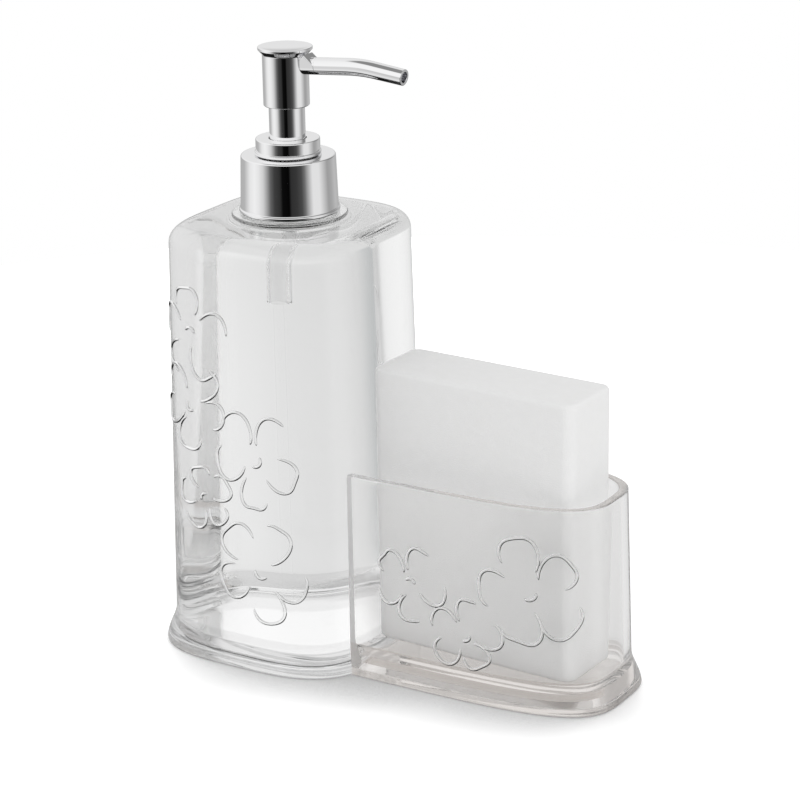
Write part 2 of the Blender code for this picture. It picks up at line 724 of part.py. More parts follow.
def make_plunger(build, chrome, plastic, soft_plastic, steel):
    """The stem with its chrome sleeve, the piston rod and seal, and the return spring."""
    rod_socket = ROD_RADIUS + GAP
    stem = [
        (STEM_BORE, STEM_TOP),
        (STEM_RADIUS, STEM_TOP),
        (STEM_RADIUS, STEM_FOOT),
        (rod_socket, STEM_FOOT),
        (rod_socket, ROD_TOP + GAP),
        (STEM_BORE, ROD_TOP + GAP),
    ]
    turned(build, "pump_stem", stem, plastic, INNER_STEPS)

    sleeve = [
        (SLEEVE_INNER, SLEEVE_TOP),
        (SLEEVE_OUTER, SLEEVE_TOP),
        (SLEEVE_OUTER, SLEEVE_FOOT),
        (SLEEVE_INNER, SLEEVE_FOOT),
    ]
    turned(build, "stem_sleeve", sleeve, chrome, SHOW_STEPS)

    port_height = (SEAL_TOP + SEAL_FOOT) / 2
    bore_foot = port_height - ROD_PORT
    rod = [
        (0, bore_foot),
        (ROD_BORE, bore_foot),
        (ROD_BORE, ROD_TOP),
        (ROD_RADIUS, ROD_TOP),
        (ROD_RADIUS, ROD_HEAD_TOP),
        (ROD_HEAD_RADIUS, ROD_HEAD_TOP),
        (ROD_HEAD_RADIUS, ROD_FOOT + ROD_HEAD_EDGE),
        (ROD_HEAD_RADIUS - ROD_HEAD_EDGE, ROD_FOOT),
        (0, ROD_FOOT),
    ]
    rod_obj = turned(build, "piston_rod", rod, plastic, INNER_STEPS, open_ended=True)
    reach = ROD_RADIUS + OVERRUN
    port_mesh = rod_between("port", (-reach, 0, port_height), (reach, 0, port_height), ROD_PORT)
    combine(rod_obj, build.cutter("port", port_mesh, build.pump_axis), "DIFFERENCE")

    seal_outer = BARREL_BORE - GAP
    lip_inner = seal_outer - SEAL_LIP
    boss = ROD_HEAD_RADIUS + GAP
    seal = [
        (SEAL_INNER, SEAL_TOP),
        (boss, SEAL_TOP),
        (boss, SEAL_TOP - SEAL_GROOVE),
        (lip_inner, SEAL_TOP - SEAL_GROOVE),
        (lip_inner, SEAL_TOP),
        (seal_outer, SEAL_TOP),
        (seal_outer, SEAL_FOOT),
        (lip_inner, SEAL_FOOT),
        (lip_inner, SEAL_FOOT + SEAL_GROOVE),
        (boss, SEAL_FOOT + SEAL_GROOVE),
        (boss, SEAL_FOOT),
        (SEAL_INNER, SEAL_FOOT),
    ]
    turned(build, "piston_seal", seal, soft_plastic, INNER_STEPS)

    wire = SPRING_WIRE / 2
    low = LEDGE_TOP + GAP + wire
    high = CORE_FOOT - GAP - wire
    coil = STEM_RADIUS + SPRING_CLEARANCE + wire
    points = []
    for step in range(SPRING_TURNS * SPRING_STEPS + 1):
        share = step / (SPRING_TURNS * SPRING_STEPS)
        angle = 2 * pi * SPRING_TURNS * share
        points.append((coil * cos(angle), coil * sin(angle), low + (high - low) * share))
    mesh = curve_mesh("return_spring", points, [wire] * len(points), WIRE_STEPS)
    build.part("return_spring", mesh, steel, build.pump_axis)


def spout_path():
    """The spout's centre line: a straight rise, one round bend, and a straight fall to the tip.

    Its second and third points are the shoulder where the thin spigot in the head ends.
    """
    up = Vector((1, 0, SPOUT_RISE)).normalized()
    down = Vector((1, 0, -SPOUT_FALL)).normalized()
    turn = up.angle(down)
    corner = Vector((SPOUT_BEND_X, 0, SPOUT_AXIS_Z + SPOUT_BEND_X * SPOUT_RISE))
    reach = SPOUT_BEND_RADIUS * tan(turn / 2)
    centre = corner - up * reach + Vector((up.z, 0, -up.x)) * SPOUT_BEND_RADIUS
    points = [corner - up * ((SPOUT_BEND_X - SPOUT_ROOT_X) / up.x)]
    points.append(corner - up * ((SPOUT_BEND_X - BOSS_END_X) / up.x - GAP))
    points.append(points[-1] + up * SPOUT_EDGE)
    for step in range(ARC_STEPS + 1):
        spin = Matrix.Rotation(turn * step / ARC_STEPS, 3, "Y")
        points.append(centre + spin @ (corner - up * reach - centre))
    points.append(corner + down * ((SPOUT_TIP_X - SPOUT_BEND_X) / down.x))
    return points


def spout_radii(points):
    """A thin spigot in the head, then the full radius to the bend, narrowing evenly to the tip."""
    start = points[3].x
    radii = [SPIGOT_RADIUS, SPIGOT_RADIUS]
    for point in points[2:]:
        share = max(point.x - start, 0) / (points[-1].x - start)
        radii.append(SPOUT_RADIUS + (SPOUT_TIP_RADIUS - SPOUT_RADIUS) * share)
    return radii


def make_head(build, chrome, plastic):
    """The chrome head with its disc and boss, the plastic core, and the spout."""
    points = spout_path()
    root = points[0]
    up = (points[1] - points[0]).normalized()
    on_axis = root - up * (root.x / up.x)
    past_boss = on_axis + up * ((BOSS_END_X + OVERRUN) / up.x)
    drill_mesh = rod_between("spout_drill", on_axis, past_boss, SPIGOT_RADIUS + GAP)
    drill = build.cutter("spout_drill", drill_mesh, build.pump_axis)

    taper_foot = HEAD_TOP - DISC_RIM - DISC_TAPER
    body = [
        (0, HEAD_TOP - DISC_DISH),
        (DISC_RADIUS - DISC_DISH_EDGE, HEAD_TOP - DISC_DISH / 4),
        (DISC_RADIUS - DISC_DISH_EDGE / 2, HEAD_TOP),
        (DISC_RADIUS, HEAD_TOP - DISC_RIM / 2),
        (DISC_RADIUS, HEAD_TOP - DISC_RIM),
        (HEAD_RADIUS, taper_foot),
        (HEAD_RADIUS, HEAD_FOOT + HEAD_EDGE),
        (HEAD_RADIUS - HEAD_EDGE, HEAD_FOOT),
        (0, HEAD_FOOT),
    ]
    shell = turned(build, "head_shell", body, chrome, SHOW_STEPS, open_ended=True)

    inside_x = HEAD_INNER - HEAD_WALL
    boss_start = on_axis + up * (inside_x / up.x)
    boss_end = on_axis + up * (BOSS_END_X / up.x)
    chin_x = HEAD_RADIUS + BOSS_CHIN_STEP
    peak_x = HEAD_RADIUS + BOSS_PEAK_STEP
    outline = [
        (inside_x, boss_start.z),
        (BOSS_END_X, boss_end.z),
        (chin_x, SPOUT_AXIS_Z + chin_x * SPOUT_RISE + BOSS_CHIN_RISE),
        (peak_x, SPOUT_AXIS_Z + peak_x * SPOUT_RISE + BOSS_PEAK_RISE),
        (inside_x, boss_start.z + BOSS_ROOT_RISE),
    ]
    boss_mesh = slab_mesh("spout_boss", outline, SPOUT_RADIUS)
    combine(shell, build.cutter("spout_boss", boss_mesh, build.pump_axis), "UNION")
    chin_mesh = rod_between("spout_chin", boss_start, boss_end, SPOUT_RADIUS)
    combine(shell, build.cutter("spout_chin", chin_mesh, build.pump_axis), "UNION")

    below = (0, 0, HEAD_FOOT - OVERRUN)
    hollow_mesh = rod_between("head_hollow", below, (0, 0, HEAD_CEILING), HEAD_INNER)
    combine(shell, build.cutter("head_hollow", hollow_mesh, build.pump_axis), "DIFFERENCE")
    combine(shell, drill, "DIFFERENCE")

    seat = SLEEVE_INNER - GAP
    stem_socket = STEM_RADIUS + GAP
    core = [
        (0, CORE_TOP),
        (CORE_RADIUS - HEAD_EDGE, CORE_TOP),
        (CORE_RADIUS, CORE_TOP - HEAD_EDGE),
        (CORE_RADIUS, CORE_FOOT),
        (SLEEVE_OUTER + GAP, CORE_FOOT),
        (SLEEVE_OUTER + GAP, SLEEVE_TOP + GAP),
        (seat, SLEEVE_TOP + GAP),
        (seat, CORE_FOOT),
        (stem_socket, CORE_FOOT),
        (stem_socket, STEM_TOP + GAP),
        (CHANNEL_RADIUS, STEM_TOP + GAP),
        (CHANNEL_RADIUS, CORE_TOP - CHANNEL_ROOF),
        (0, CORE_TOP - CHANNEL_ROOF),
    ]
    core_obj = turned(build, "head_core", core, plastic, INNER_STEPS, open_ended=True)
    combine(core_obj, drill, "DIFFERENCE")

    tube_mesh = curve_mesh("nozzle_tube", points, spout_radii(points), SPOUT_STEPS)
    tube = build.part("nozzle_tube", tube_mesh, chrome, build.pump_axis)
    first = points[0] - up * OVERRUN
    down = (points[-1] - points[-2]).normalized()
    bore_points = [first, *points[1:-1], points[-1] + down * OVERRUN]
    bore_mesh = curve_mesh("spout_bore", bore_points, [SPOUT_BORE] * len(bore_points), DRILL_STEPS)
    combine(tube, build.cutter("spout_bore", bore_mesh, build.pump_axis), "DIFFERENCE")


def main():
    clear_scene()
    build = Build()
    clear = new_material("clear_plastic", (0.93, 0.94, 0.95), 0.05, alpha=0.25)
    chrome = new_material("chrome_plating", (0.82, 0.83, 0.84), 0.06, metallic=1.0)
    plastic = new_material("white_plastic", (0.88, 0.88, 0.87), 0.35)
    soft_plastic = new_material("seal_plastic", (0.80, 0.81, 0.82), 0.45)
    tube_plastic = new_material("tube_plastic", (0.90, 0.92, 0.93), 0.15, alpha=0.35)
    rubber = new_material("grey_rubber", (0.55, 0.56, 0.57), 0.7)
    steel = new_material("spring_steel", (0.70, 0.71, 0.72), 0.2, metallic=1.0)
    foam = new_material("white_foam", (0.90, 0.90, 0.90), 0.95)

    make_bottle(build, clear)
    make_well(build, clear)
    make_sponge(build, foam)
    make_neck(build, clear, rubber)
    make_collar(build, chrome, plastic)
    make_hub(build, chrome, plastic)
    make_housing(build, plastic, tube_plastic, steel)
    make_plunger(build, chrome, plastic, soft_plastic, steel)
    make_head(build, chrome, plastic)


main()
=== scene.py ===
"""The looks of the dish soap dispenser: clear bottle and sponge well, chrome pump, white sponge.

Metres, +Z up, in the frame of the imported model. The pump's axis stands at x = PUMP_X, and the
bottle, the well and all turned pieces are worked out about it.
"""

from math import atan, cos, pi, radians, sin, tan

import bmesh
import bpy
import numpy as np
from mathutils import Matrix, Vector


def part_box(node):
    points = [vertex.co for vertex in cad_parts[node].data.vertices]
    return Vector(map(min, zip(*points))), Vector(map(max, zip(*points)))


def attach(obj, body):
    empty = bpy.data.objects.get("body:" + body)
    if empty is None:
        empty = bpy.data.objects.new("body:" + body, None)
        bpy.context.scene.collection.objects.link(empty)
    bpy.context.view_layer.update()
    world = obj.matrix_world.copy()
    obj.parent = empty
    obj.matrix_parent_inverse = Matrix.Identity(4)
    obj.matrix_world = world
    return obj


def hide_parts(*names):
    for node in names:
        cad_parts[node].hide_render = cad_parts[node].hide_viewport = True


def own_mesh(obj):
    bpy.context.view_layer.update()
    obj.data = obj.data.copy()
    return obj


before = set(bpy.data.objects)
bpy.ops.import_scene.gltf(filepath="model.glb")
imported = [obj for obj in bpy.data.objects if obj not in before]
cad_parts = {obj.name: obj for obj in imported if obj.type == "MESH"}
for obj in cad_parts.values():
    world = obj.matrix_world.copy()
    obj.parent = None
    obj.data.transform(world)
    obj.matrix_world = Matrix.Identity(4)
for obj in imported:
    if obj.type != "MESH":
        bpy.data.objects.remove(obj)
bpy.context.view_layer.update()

# Camera, fitted to the photograph's frame
IMAGE_PIXELS = 800
FOCAL_PIXELS = 2750.67
SENSOR_WIDTH = 36.0
CAMERA_DISTANCE = 1.00924
CAMERA_ELEVATION = radians(18.93)
CAMERA_TURN = radians(31.27)
CAMERA_ROLL = radians(-1.00)
PUMP_FOOT_PIXEL = (302.52, 624.02)
CLIP_START = 0.05

# Places and sizes read from the frame
plate_low, plate_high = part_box("bottle_base_plate")
well_low, well_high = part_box("holder_base_plate")
shell_low, shell_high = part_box("bottle_shell")
holder_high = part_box("sponge_holder")[1]
sponge_low, sponge_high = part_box("sponge")
neck_low, neck_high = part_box("neck_insert")
collar_low, collar_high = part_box("screw_collar")
hub_low, hub_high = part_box("pump_hub")
sleeve_low, sleeve_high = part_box("stem_sleeve")
head_low, head_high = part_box("head_shell")
housing_low, housing_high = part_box("pump_cylinder")
tube_low, tube_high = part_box("dip_tube")
PUMP_X = (plate_low.x + plate_high.x) / 2

# Bottle and well
GAP = 0.0003
WALL = 0.0030
DRAFT = 0.025
FLARE = 0.0030
FLARE_HEIGHT = 0.0125
FOOT_EDGE = 0.0002
PLATE_EDGE = 0.0006
PLUG_EDGE = 0.0004
BOTTLE_HALF_X = (plate_high.x - plate_low.x) / 2
BOTTLE_HALF_Y = (plate_high.y - plate_low.y) / 2
BOTTLE_FOOT_POWER = 3.4
BOTTLE_TOP_POWER = 3.9
BEAD_HEIGHT = 0.0008
BEAD_RADIUS = 0.0213
BEAD_MARGIN = 0.004
BOTTLE_HEIGHT = shell_high.z - BEAD_HEIGHT
SHOULDER_RADIUS = 0.0062
INNER_SHOULDER_RADIUS = 0.0040
BOTTLE_ROOF = BOTTLE_HEIGHT - WALL
SHELL_FOOT = shell_low.z
PLATE_TOP = well_high.z
PLUG_TOP = plate_high.z
NECK_HOLE = 0.0169
WELL_HALF_X = 0.0733
WELL_HALF_Y = (well_high.y - well_low.y) / 2
WELL_CENTRE_X = well_high.x - PUMP_X - WELL_HALF_X
WELL_POWER = 3.6
WELL_HEIGHT = holder_high.z
WELL_FLOOR = 0.0030
WELL_FLOOR_TOP = 0.0086
RIM_EDGE = 0.0007
FLOOR_FILLET = 0.0012

# How much of the flare is darker by painted shade at the foot, and of the turn the matt finish to
# each side
SHADED_FOOT_SHARE = 0.85
MATT_SHARE = 0.09

# Points round a clear wall, along each side of a strip and across each of its ends
AROUND = 384
ALONG = 240
STRIP_ENDS = 6

# Fillets: arc steps, and how far outside each arc a point keeps the shading flat
FILLET_STEPS = 6
SUPPORT = 0.00003
FLAT_SUPPORT = 0.0001

# Angle past which the edges of the well stay sharp
STRIP_SHARP = radians(35)


def add_object(name, mesh, sharp=None):
    """An object at the origin with a smooth shaded mesh. Edges past an angle stay sharp."""
    mesh.shade_smooth()
    if sharp is not None:
        mesh.set_sharp_from_angle(angle=sharp)
    obj = bpy.data.objects.new(name, mesh)
    bpy.context.scene.collection.objects.link(obj)
    return obj


def add_mesh(name, points, faces, sharp=None):
    """An object made of points and faces."""
    mesh = bpy.data.meshes.new(name)
    mesh.from_pydata(points, [], faces)
    mesh.update()
    mesh.validate()
    return add_object(name, mesh, sharp)


def whole_turn(count):
    """Angles at even steps round a whole turn."""
    return np.arange(count) * 2 * pi / count


def grid_faces(rows, columns, wrap_rows):
    """Quads between neighbouring rows of a grid whose columns close on themselves."""
    row = np.arange(rows if wrap_rows else rows - 1)[:, None]
    column = np.arange(columns)[None, :]
    above = (row + 1) % rows
    beside = (column + 1) % columns
    quads = (
        row * columns + column, row * columns + beside,
        above * columns + beside, above * columns + column,
    )
    return np.stack(quads, axis=-1).reshape(-1, 4)


def skin(name, rings, closed=False, sharp=None):
    """Skin a stack of rings, given as an array of (rings, points, 3).

    The rings run anticlockwise seen from above and go up the outside. A closed stack joins its
    last ring to its first, and an open one gets a point in the middle of each end.
    """
    rows, columns = rings.shape[:2]
    points = rings.reshape(-1, 3)
    faces = grid_faces(rows, columns, closed).tolist()
    if not closed:
        here = np.arange(columns)
        there = (here + 1) % columns
        ends = np.array([rings[0].mean(axis=0), rings[-1].mean(axis=0)])
        foot = len(points)
        top = foot + 1
        last = (rows - 1) * columns
        points = np.concatenate([points, ends])
        faces += np.stack([np.full(columns, foot), there, here], axis=-1).tolist()
        faces += np.stack([np.full(columns, top), last + here, last + there], axis=-1).tolist()
    return add_mesh(name, points, faces, sharp)


def circle_rings(radius, z, around):
    """Rings that are circles about the pump's axis, one for each radius and height."""
    radius, z = np.asarray(radius, float)[:, None], np.asarray(z, float)[:, None]
    angle = whole_turn(around)
    x = PUMP_X + radius * np.cos(angle)
    return np.stack([x, radius * np.sin(angle), np.broadcast_to(z, x.shape)], axis=-1)


def turned(name, corners, around=192, closed=True):
    """Turn a profile of (radius, height, fillet) corners about the pump's axis.

    The profile goes up the outside, in over the top and down the bore. One that isn't closed
    starts and ends near the axis, and a point on the axis closes it there.
    """
    profile = softened(corners, closed)
    return skin(name, circle_rings(profile[:, 0], profile[:, 1], around), closed)


def softened(corners, closed=True):
    """Round the corners of a profile given as (radius, height, fillet) triples.

    Each fillet is an arc that touches both sides, with one more point just outside each end of
    the arc, so that the flat stretches between corners stay flat when they are shaded.
    """
    corners = np.asarray(corners, float)
    count = len(corners)
    points = []
    for at in range(count):
        here, fillet = corners[at, :2], corners[at, 2]
        if fillet == 0 or (not closed and at in (0, count - 1)):
            points.append(here)
            continue
        back = corners[at - 1, :2] - here
        ahead = corners[(at + 1) % count, :2] - here
        back_length, ahead_length = np.hypot(*back), np.hypot(*ahead)
        back, ahead = back / back_length, ahead / ahead_length
        half = np.arccos(np.clip(back @ ahead, -1, 1)) / 2
        reach = min(fillet / tan(half), 0.48 * back_length, 0.48 * ahead_length)
        size = reach * tan(half)
        middle = back + ahead
        centre = here + middle / np.hypot(*middle) * size / sin(half)
        start, end = here + back * reach - centre, here + ahead * reach - centre
        sweep = pi - 2 * half
        share = np.linspace(0, 1, FILLET_STEPS + 1)[:, None]
        arc = (start * np.sin((1 - share) * sweep) + end * np.sin(share * sweep)) / sin(sweep)
        points.append(here + back * (reach + SUPPORT))
        points.extend(centre + arc)
        points.append(here + ahead * (reach + SUPPORT))
    return np.array(points)


def quarter(steps):
    """The rise and run of a quarter turn: sines and one less cosines, from 0 to 1."""
    angle = np.linspace(0, pi / 2, steps + 1)
    return np.sin(angle), 1 - np.cos(angle)


def unit_oval(angle, power):
    """Points at polar angles on the superellipse |x|^power + |y|^power = 1."""
    reach = (np.abs(np.cos(angle)) ** power + np.abs(np.sin(angle)) ** power) ** (-1 / power)
    return reach * np.cos(angle), reach * np.sin(angle)


def drawn_in(z, inset, flared):
    """How far a wall at height z stands inside its foot's outline, by draft and inset.

    The flare is an eased curve, FLARE (1 + cos(pi z / FLARE_HEIGHT)) / 2, full at the table.
    """
    rise = np.clip(z / FLARE_HEIGHT, 0, 1)
    flare = FLARE * (1 + np.cos(pi * rise)) / 2 if flared else 0
    return DRAFT * z + FLARE - flare + inset


def bottle_halves(z, inset, flared=True):
    """The bottle's half width, half depth and power at height z, drawn in by inset."""
    shrink = drawn_in(z, inset, flared)
    climb = np.clip(z / BOTTLE_HEIGHT, 0, 1)
    power = BOTTLE_FOOT_POWER + (BOTTLE_TOP_POWER - BOTTLE_FOOT_POWER) * climb
    return BOTTLE_HALF_X - shrink, BOTTLE_HALF_Y - shrink, power


def bottle_point(angle, z, inset=0.0, flared=True):
    """Points of the bottle's wall by polar angle and height: a superellipse that tapers up."""
    half_x, half_y, power = bottle_halves(z, inset, flared)
    x, y = unit_oval(angle, power)
    return PUMP_X + half_x * x, half_y * y


def well_point(angle, z, inset=0.0, flared=True):
    """Points of the well's wall by polar angle and height."""
    shrink = drawn_in(z, inset, flared)
    x, y = unit_oval(angle, WELL_POWER)
    return PUMP_X + WELL_CENTRE_X + (WELL_HALF_X - shrink) * x, (WELL_HALF_Y - shrink) * y


def bottle_rings(shape_z, inset, place_z=None, flared=True):
    """Rings of the bottle, one for each height and inset, set at place_z where that is given."""
    shape_z, inset = np.broadcast_arrays(np.asarray(shape_z, float), np.asarray(inset, float))
    place_z = shape_z if place_z is None else np.broadcast_to(place_z, shape_z.shape)
    x, y = bottle_point(whole_turn(AROUND), shape_z[:, None], inset[:, None], flared)
    return np.stack([x, y, np.broadcast_to(place_z[:, None], x.shape)], axis=-1)


def make_bottle_wall():
    """The bottle: up the flared and drafted outside, round the shoulder to the flat top, over the
    bead, down the neck hole, out along the roof, round its fillet and down the inside.

    It is dry outside, darker at the foot by painted shade, wet inside, and matt there beside the
    well.
    """
    rise, run = quarter(14)
    foot_rise, foot_run = quarter(3)
    rows = 40
    start = BOTTLE_HEIGHT - SHOULDER_RADIUS
    foot_z = SHELL_FOOT + FOOT_EDGE * foot_rise
    outside = [
        bottle_rings(foot_z, FOOT_EDGE * (1 - foot_rise), SHELL_FOOT + FOOT_EDGE * foot_run),
        bottle_rings(np.linspace(SHELL_FOOT + 2 * FOOT_EDGE, FLARE_HEIGHT, 22), 0.0),
        bottle_rings(np.linspace(FLARE_HEIGHT, start, rows)[1:], 0.0),
        bottle_rings(start, SHOULDER_RADIUS * run[1:], start + SHOULDER_RADIUS * rise[1:]),
        bottle_rings(start, np.array([SHOULDER_RADIUS + FLAT_SUPPORT]), BOTTLE_HEIGHT),
    ]
    bead = softened(
        [
            (BEAD_RADIUS + BEAD_MARGIN, BOTTLE_HEIGHT, 0),
            (BEAD_RADIUS, BOTTLE_HEIGHT, 0.0004),
            (BEAD_RADIUS, shell_high.z, 0.0003),
            (NECK_HOLE, shell_high.z, 0.0003),
            (NECK_HOLE, BOTTLE_ROOF, 0.0003),
            (NECK_HOLE + BEAD_MARGIN, BOTTLE_ROOF, 0),
        ],
        closed=False,
    )
    mouth = circle_rings(bead[:, 0], bead[:, 1], AROUND)
    roof_start = BOTTLE_ROOF - INNER_SHOULDER_RADIUS
    roof_inset = WALL + INNER_SHOULDER_RADIUS * run[::-1]
    roof_z = roof_start + INNER_SHOULDER_RADIUS * rise[::-1]
    roof_edge = np.array([WALL + INNER_SHOULDER_RADIUS + FLAT_SUPPORT])
    inside = [
        bottle_rings(roof_start, roof_edge, BOTTLE_ROOF),
        bottle_rings(roof_start, roof_inset, roof_z),
        bottle_rings(np.linspace(roof_start, SHELL_FOOT, rows)[1:], WALL, flared=False),
    ]
    rings = np.concatenate([*outside, mouth, *inside])
    wall = skin("bottle_wall", rings, closed=True)
    wet_from = sum(len(part) for part in outside) + len(mouth) - 3
    roof_rows = 4
    row = np.repeat(np.arange(len(rings)), AROUND)
    wet = (row >= wet_from) & (row < len(rings) - 1)
    index = wet.astype(np.int32)
    # Painted shade: the lower flare outside takes the darker foot material
    index[(row < len(outside[0]) + SHADED_FOOT_SHARE * len(outside[1])) & ~wet] = 2
    column = np.tile(np.arange(AROUND), len(rings))
    beside_well = np.minimum(column, AROUND - column) < AROUND * MATT_SHARE
    below_rim = np.repeat(rings[:, 0, 2], AROUND) < WELL_HEIGHT
    index[wet & beside_well & below_rim & (row > wet_from + roof_rows)] = 3
    wall.data.polygons.foreach_set("material_index", index)
    return wall


def make_bottle_floor():
    """The plate under the bottle, with the raised plug that stands inside the wall. The plug's
    sides and top are wet."""
    rise, run = quarter(5)
    plug_rise, plug_run = quarter(4)
    plug = WALL + GAP
    edge, past = PLUG_EDGE, 1.2
    foot_z = np.array([PLATE_TOP, PLATE_TOP + edge])
    top_insets = np.array([plug + edge * past, plug + edge * 4, plug + 0.02])
    plate_z = PLATE_TOP - edge / 2 * (1 - plug_rise[1:])
    rings = [
        bottle_rings(PLATE_EDGE * run, PLATE_EDGE * (1 - rise), PLATE_EDGE * run),
        bottle_rings(np.linspace(PLATE_EDGE * past, PLATE_TOP - edge, 4), 0.0),
        bottle_rings(PLATE_TOP, edge / 2 * plug_run[1:], plate_z),
        bottle_rings(foot_z, plug, foot_z, False),
        bottle_rings(np.array([PLUG_TOP - edge * past]), plug, flared=False),
        bottle_rings(PLUG_TOP, plug + edge * plug_run, PLUG_TOP - edge * (1 - plug_rise), False),
        bottle_rings(PLUG_TOP, top_insets, PLUG_TOP, False),
    ]
    counts = [len(part) for part in rings]
    floor = skin("bottle_floor", np.concatenate(rings))
    # Painted shade: the plate and its bottom cap take the darker foot material, the plug the wet
    # one
    index = np.zeros(len(floor.data.polygons), np.int32)
    index[sum(counts[:3]) * AROUND :] = 1
    underside = (sum(counts) - 1) * AROUND
    index[underside : underside + AROUND] = 0
    floor.data.polygons.foreach_set("material_index", index)
    return floor


def meeting_angle(z, inset, flared):
    """The well's polar angle where its wall meets the bottle's side, found by halving."""
    low = np.full(z.shape, pi / 2)
    high = np.full(z.shape, pi)
    half_x, half_y, power = bottle_halves(z, -GAP)
    for _ in range(40):
        middle = (low + high) / 2
        x, y = well_point(middle, z, inset, flared)
        outside = np.abs((x - PUMP_X) / half_x) ** power + np.abs(y / half_y) ** power > 1
        low = np.where(outside, middle, low)
        high = np.where(outside, high, middle)
    return low


def side_angle(angle, z, inset, flared):
    """The bottle's polar angle at a point of the well's wall that lies on its side."""
    x, y = well_point(angle, z, inset, flared)
    half_x, half_y, _ = bottle_halves(z, -GAP)
    return np.arctan2(y / half_y, (x - PUMP_X) / half_x)


def strip_rings(shape_z, place_z, outer_inset, inner_inset, inner_flared, along_bottle):
    """Rings of the well for each row: its outer wall from the front meeting line to the back one,
    across to the inner wall, back along that, and across again.

    Where along_bottle is set, the way back follows the bottle's side, a gap outside it.
    """
    z, outer_inset, inner_inset = shape_z[:, None], outer_inset[:, None], inner_inset[:, None]
    out_angle = meeting_angle(z, outer_inset, True)
    in_angle = meeting_angle(z, inner_inset, inner_flared)
    out_side = side_angle(out_angle, z, outer_inset, True)
    in_side = side_angle(in_angle, z, inner_inset, inner_flared)
    sweep = np.linspace(-1, 1, ALONG)[None, :]
    step = np.linspace(0, 1, STRIP_ENDS + 2)[None, 1:-1]
    outer = well_point(out_angle * sweep, z, outer_inset)
    wall = well_point(-in_angle * sweep, z, inner_inset, inner_flared)
    side = bottle_point(-in_side * sweep, z, -GAP)
    inner = [np.where(along_bottle[:, None], b, a) for a, b in zip(wall, side)]
    back = bottle_point(out_side + (in_side - out_side) * step, z, -GAP)
    front = bottle_point(-(in_side + (out_side - in_side) * step), z, -GAP)
    x, y = (np.concatenate(parts, axis=1) for parts in zip(outer, back, inner, front))
    return np.stack([x, y, np.broadcast_to(place_z[:, None], x.shape)], axis=-1)


def strip_skin(name, rings):
    """Skin a stack of strip rings, and close its foot and its top across the strip."""
    rows, columns = rings.shape[:2]
    faces = grid_faces(rows, columns, False).tolist()
    outer = np.arange(ALONG - 1)
    inner = ALONG + STRIP_ENDS + (ALONG - 1) - outer
    last = (rows - 1) * columns
    top = [last + outer, last + outer + 1, last + inner - 1, last + inner]
    faces += np.stack(top, axis=-1).tolist()
    faces += np.stack([outer + 1, outer, inner, inner - 1], axis=-1).tolist()
    back = list(range(ALONG - 1, ALONG + STRIP_ENDS + 1))
    front = [2 * ALONG + STRIP_ENDS - 1, *range(2 * ALONG + STRIP_ENDS, columns), 0]
    for end in (back, front):
        faces.append([last + at for at in end])
        faces.append(list(reversed(end)))
    return add_mesh(name, rings.reshape(-1, 3), faces, STRIP_SHARP)


def make_well_wall():
    """The well: a drafted cup with a flared foot and its own floor, open towards the bottle. Its
    foot is darker by painted shade, and its ends on the bottle have the joint's finish."""
    rise, run = quarter(8)
    recess_top = WELL_FLOOR_TOP - WELL_FLOOR
    wall_top = WELL_HEIGHT - RIM_EDGE
    fillet_top = WELL_FLOOR_TOP + FLOOR_FILLET
    plain_z = [
        *np.linspace(fillet_top, FLARE_HEIGHT, 8)[1:],
        *np.linspace(FLARE_HEIGHT, wall_top, 30)[1:],
    ]
    rows = [(z, z, 0.0, WALL, False) for z in np.linspace(SHELL_FOOT, recess_top, 7)]
    rows += [(z, z, 0.0, WALL, True) for z in (recess_top, WELL_FLOOR_TOP)]
    for up, over in zip(run, rise):
        z = WELL_FLOOR_TOP + FLOOR_FILLET * up
        rows.append((z, z, 0.0, WALL + FLOOR_FILLET * (1 - over), False))
    rows += [(z, z, 0.0, WALL, False) for z in plain_z]
    for up, over in zip(RIM_EDGE * rise[1:], RIM_EDGE * run[1:]):
        rows.append((wall_top, wall_top + up, over, WALL - over, False))
    shape_z, place_z, outer, inner, along_bottle = (np.array(column) for column in zip(*rows))
    rings = strip_rings(shape_z, place_z, outer, inner, False, along_bottle)
    wall = strip_skin("well_wall", rings)
    row, column = np.divmod(np.arange(len(wall.data.polygons)), rings.shape[1])
    outside = column < ALONG - 1
    inside = (column >= ALONG + STRIP_ENDS) & (column < 2 * ALONG + STRIP_ENDS - 1)
    joint = (row < len(rings) - 1) & ~outside & ~inside
    foot_z = place_z[np.minimum(row, len(rings) - 1)]
    # Painted shade: the outside of the lower flare takes the darker foot material
    foot = outside & (foot_z < FLARE_HEIGHT * SHADED_FOOT_SHARE)
    wall.data.polygons.foreach_set("material_index", np.where(joint, 2, foot).astype(np.int32))
    return wall


def make_well_plate():
    """The plate under the well, cut back to the bottle's side, and darker by painted shade."""
    rise, run = quarter(5)
    side_z = np.linspace(PLATE_EDGE * 1.2, PLATE_TOP, 5)
    place_z = np.concatenate([PLATE_EDGE * run, side_z])
    inset = np.concatenate([PLATE_EDGE * (1 - rise), np.zeros(len(side_z))])
    shape_z = np.concatenate([np.zeros(len(run)), side_z])
    along_bottle = np.ones(len(place_z), bool)
    return strip_skin(
        "well_plate", strip_rings(shape_z, place_z, inset, inset, True, along_bottle)
    )


# The raised lines of the flowers
LINE_WIDTH = 0.00122
LINE_HEIGHT = 0.00064
LINE_SUNK = 0.00004
LINE_STATIONS = 40
LINE_SIDES = 12
PETALS = 5

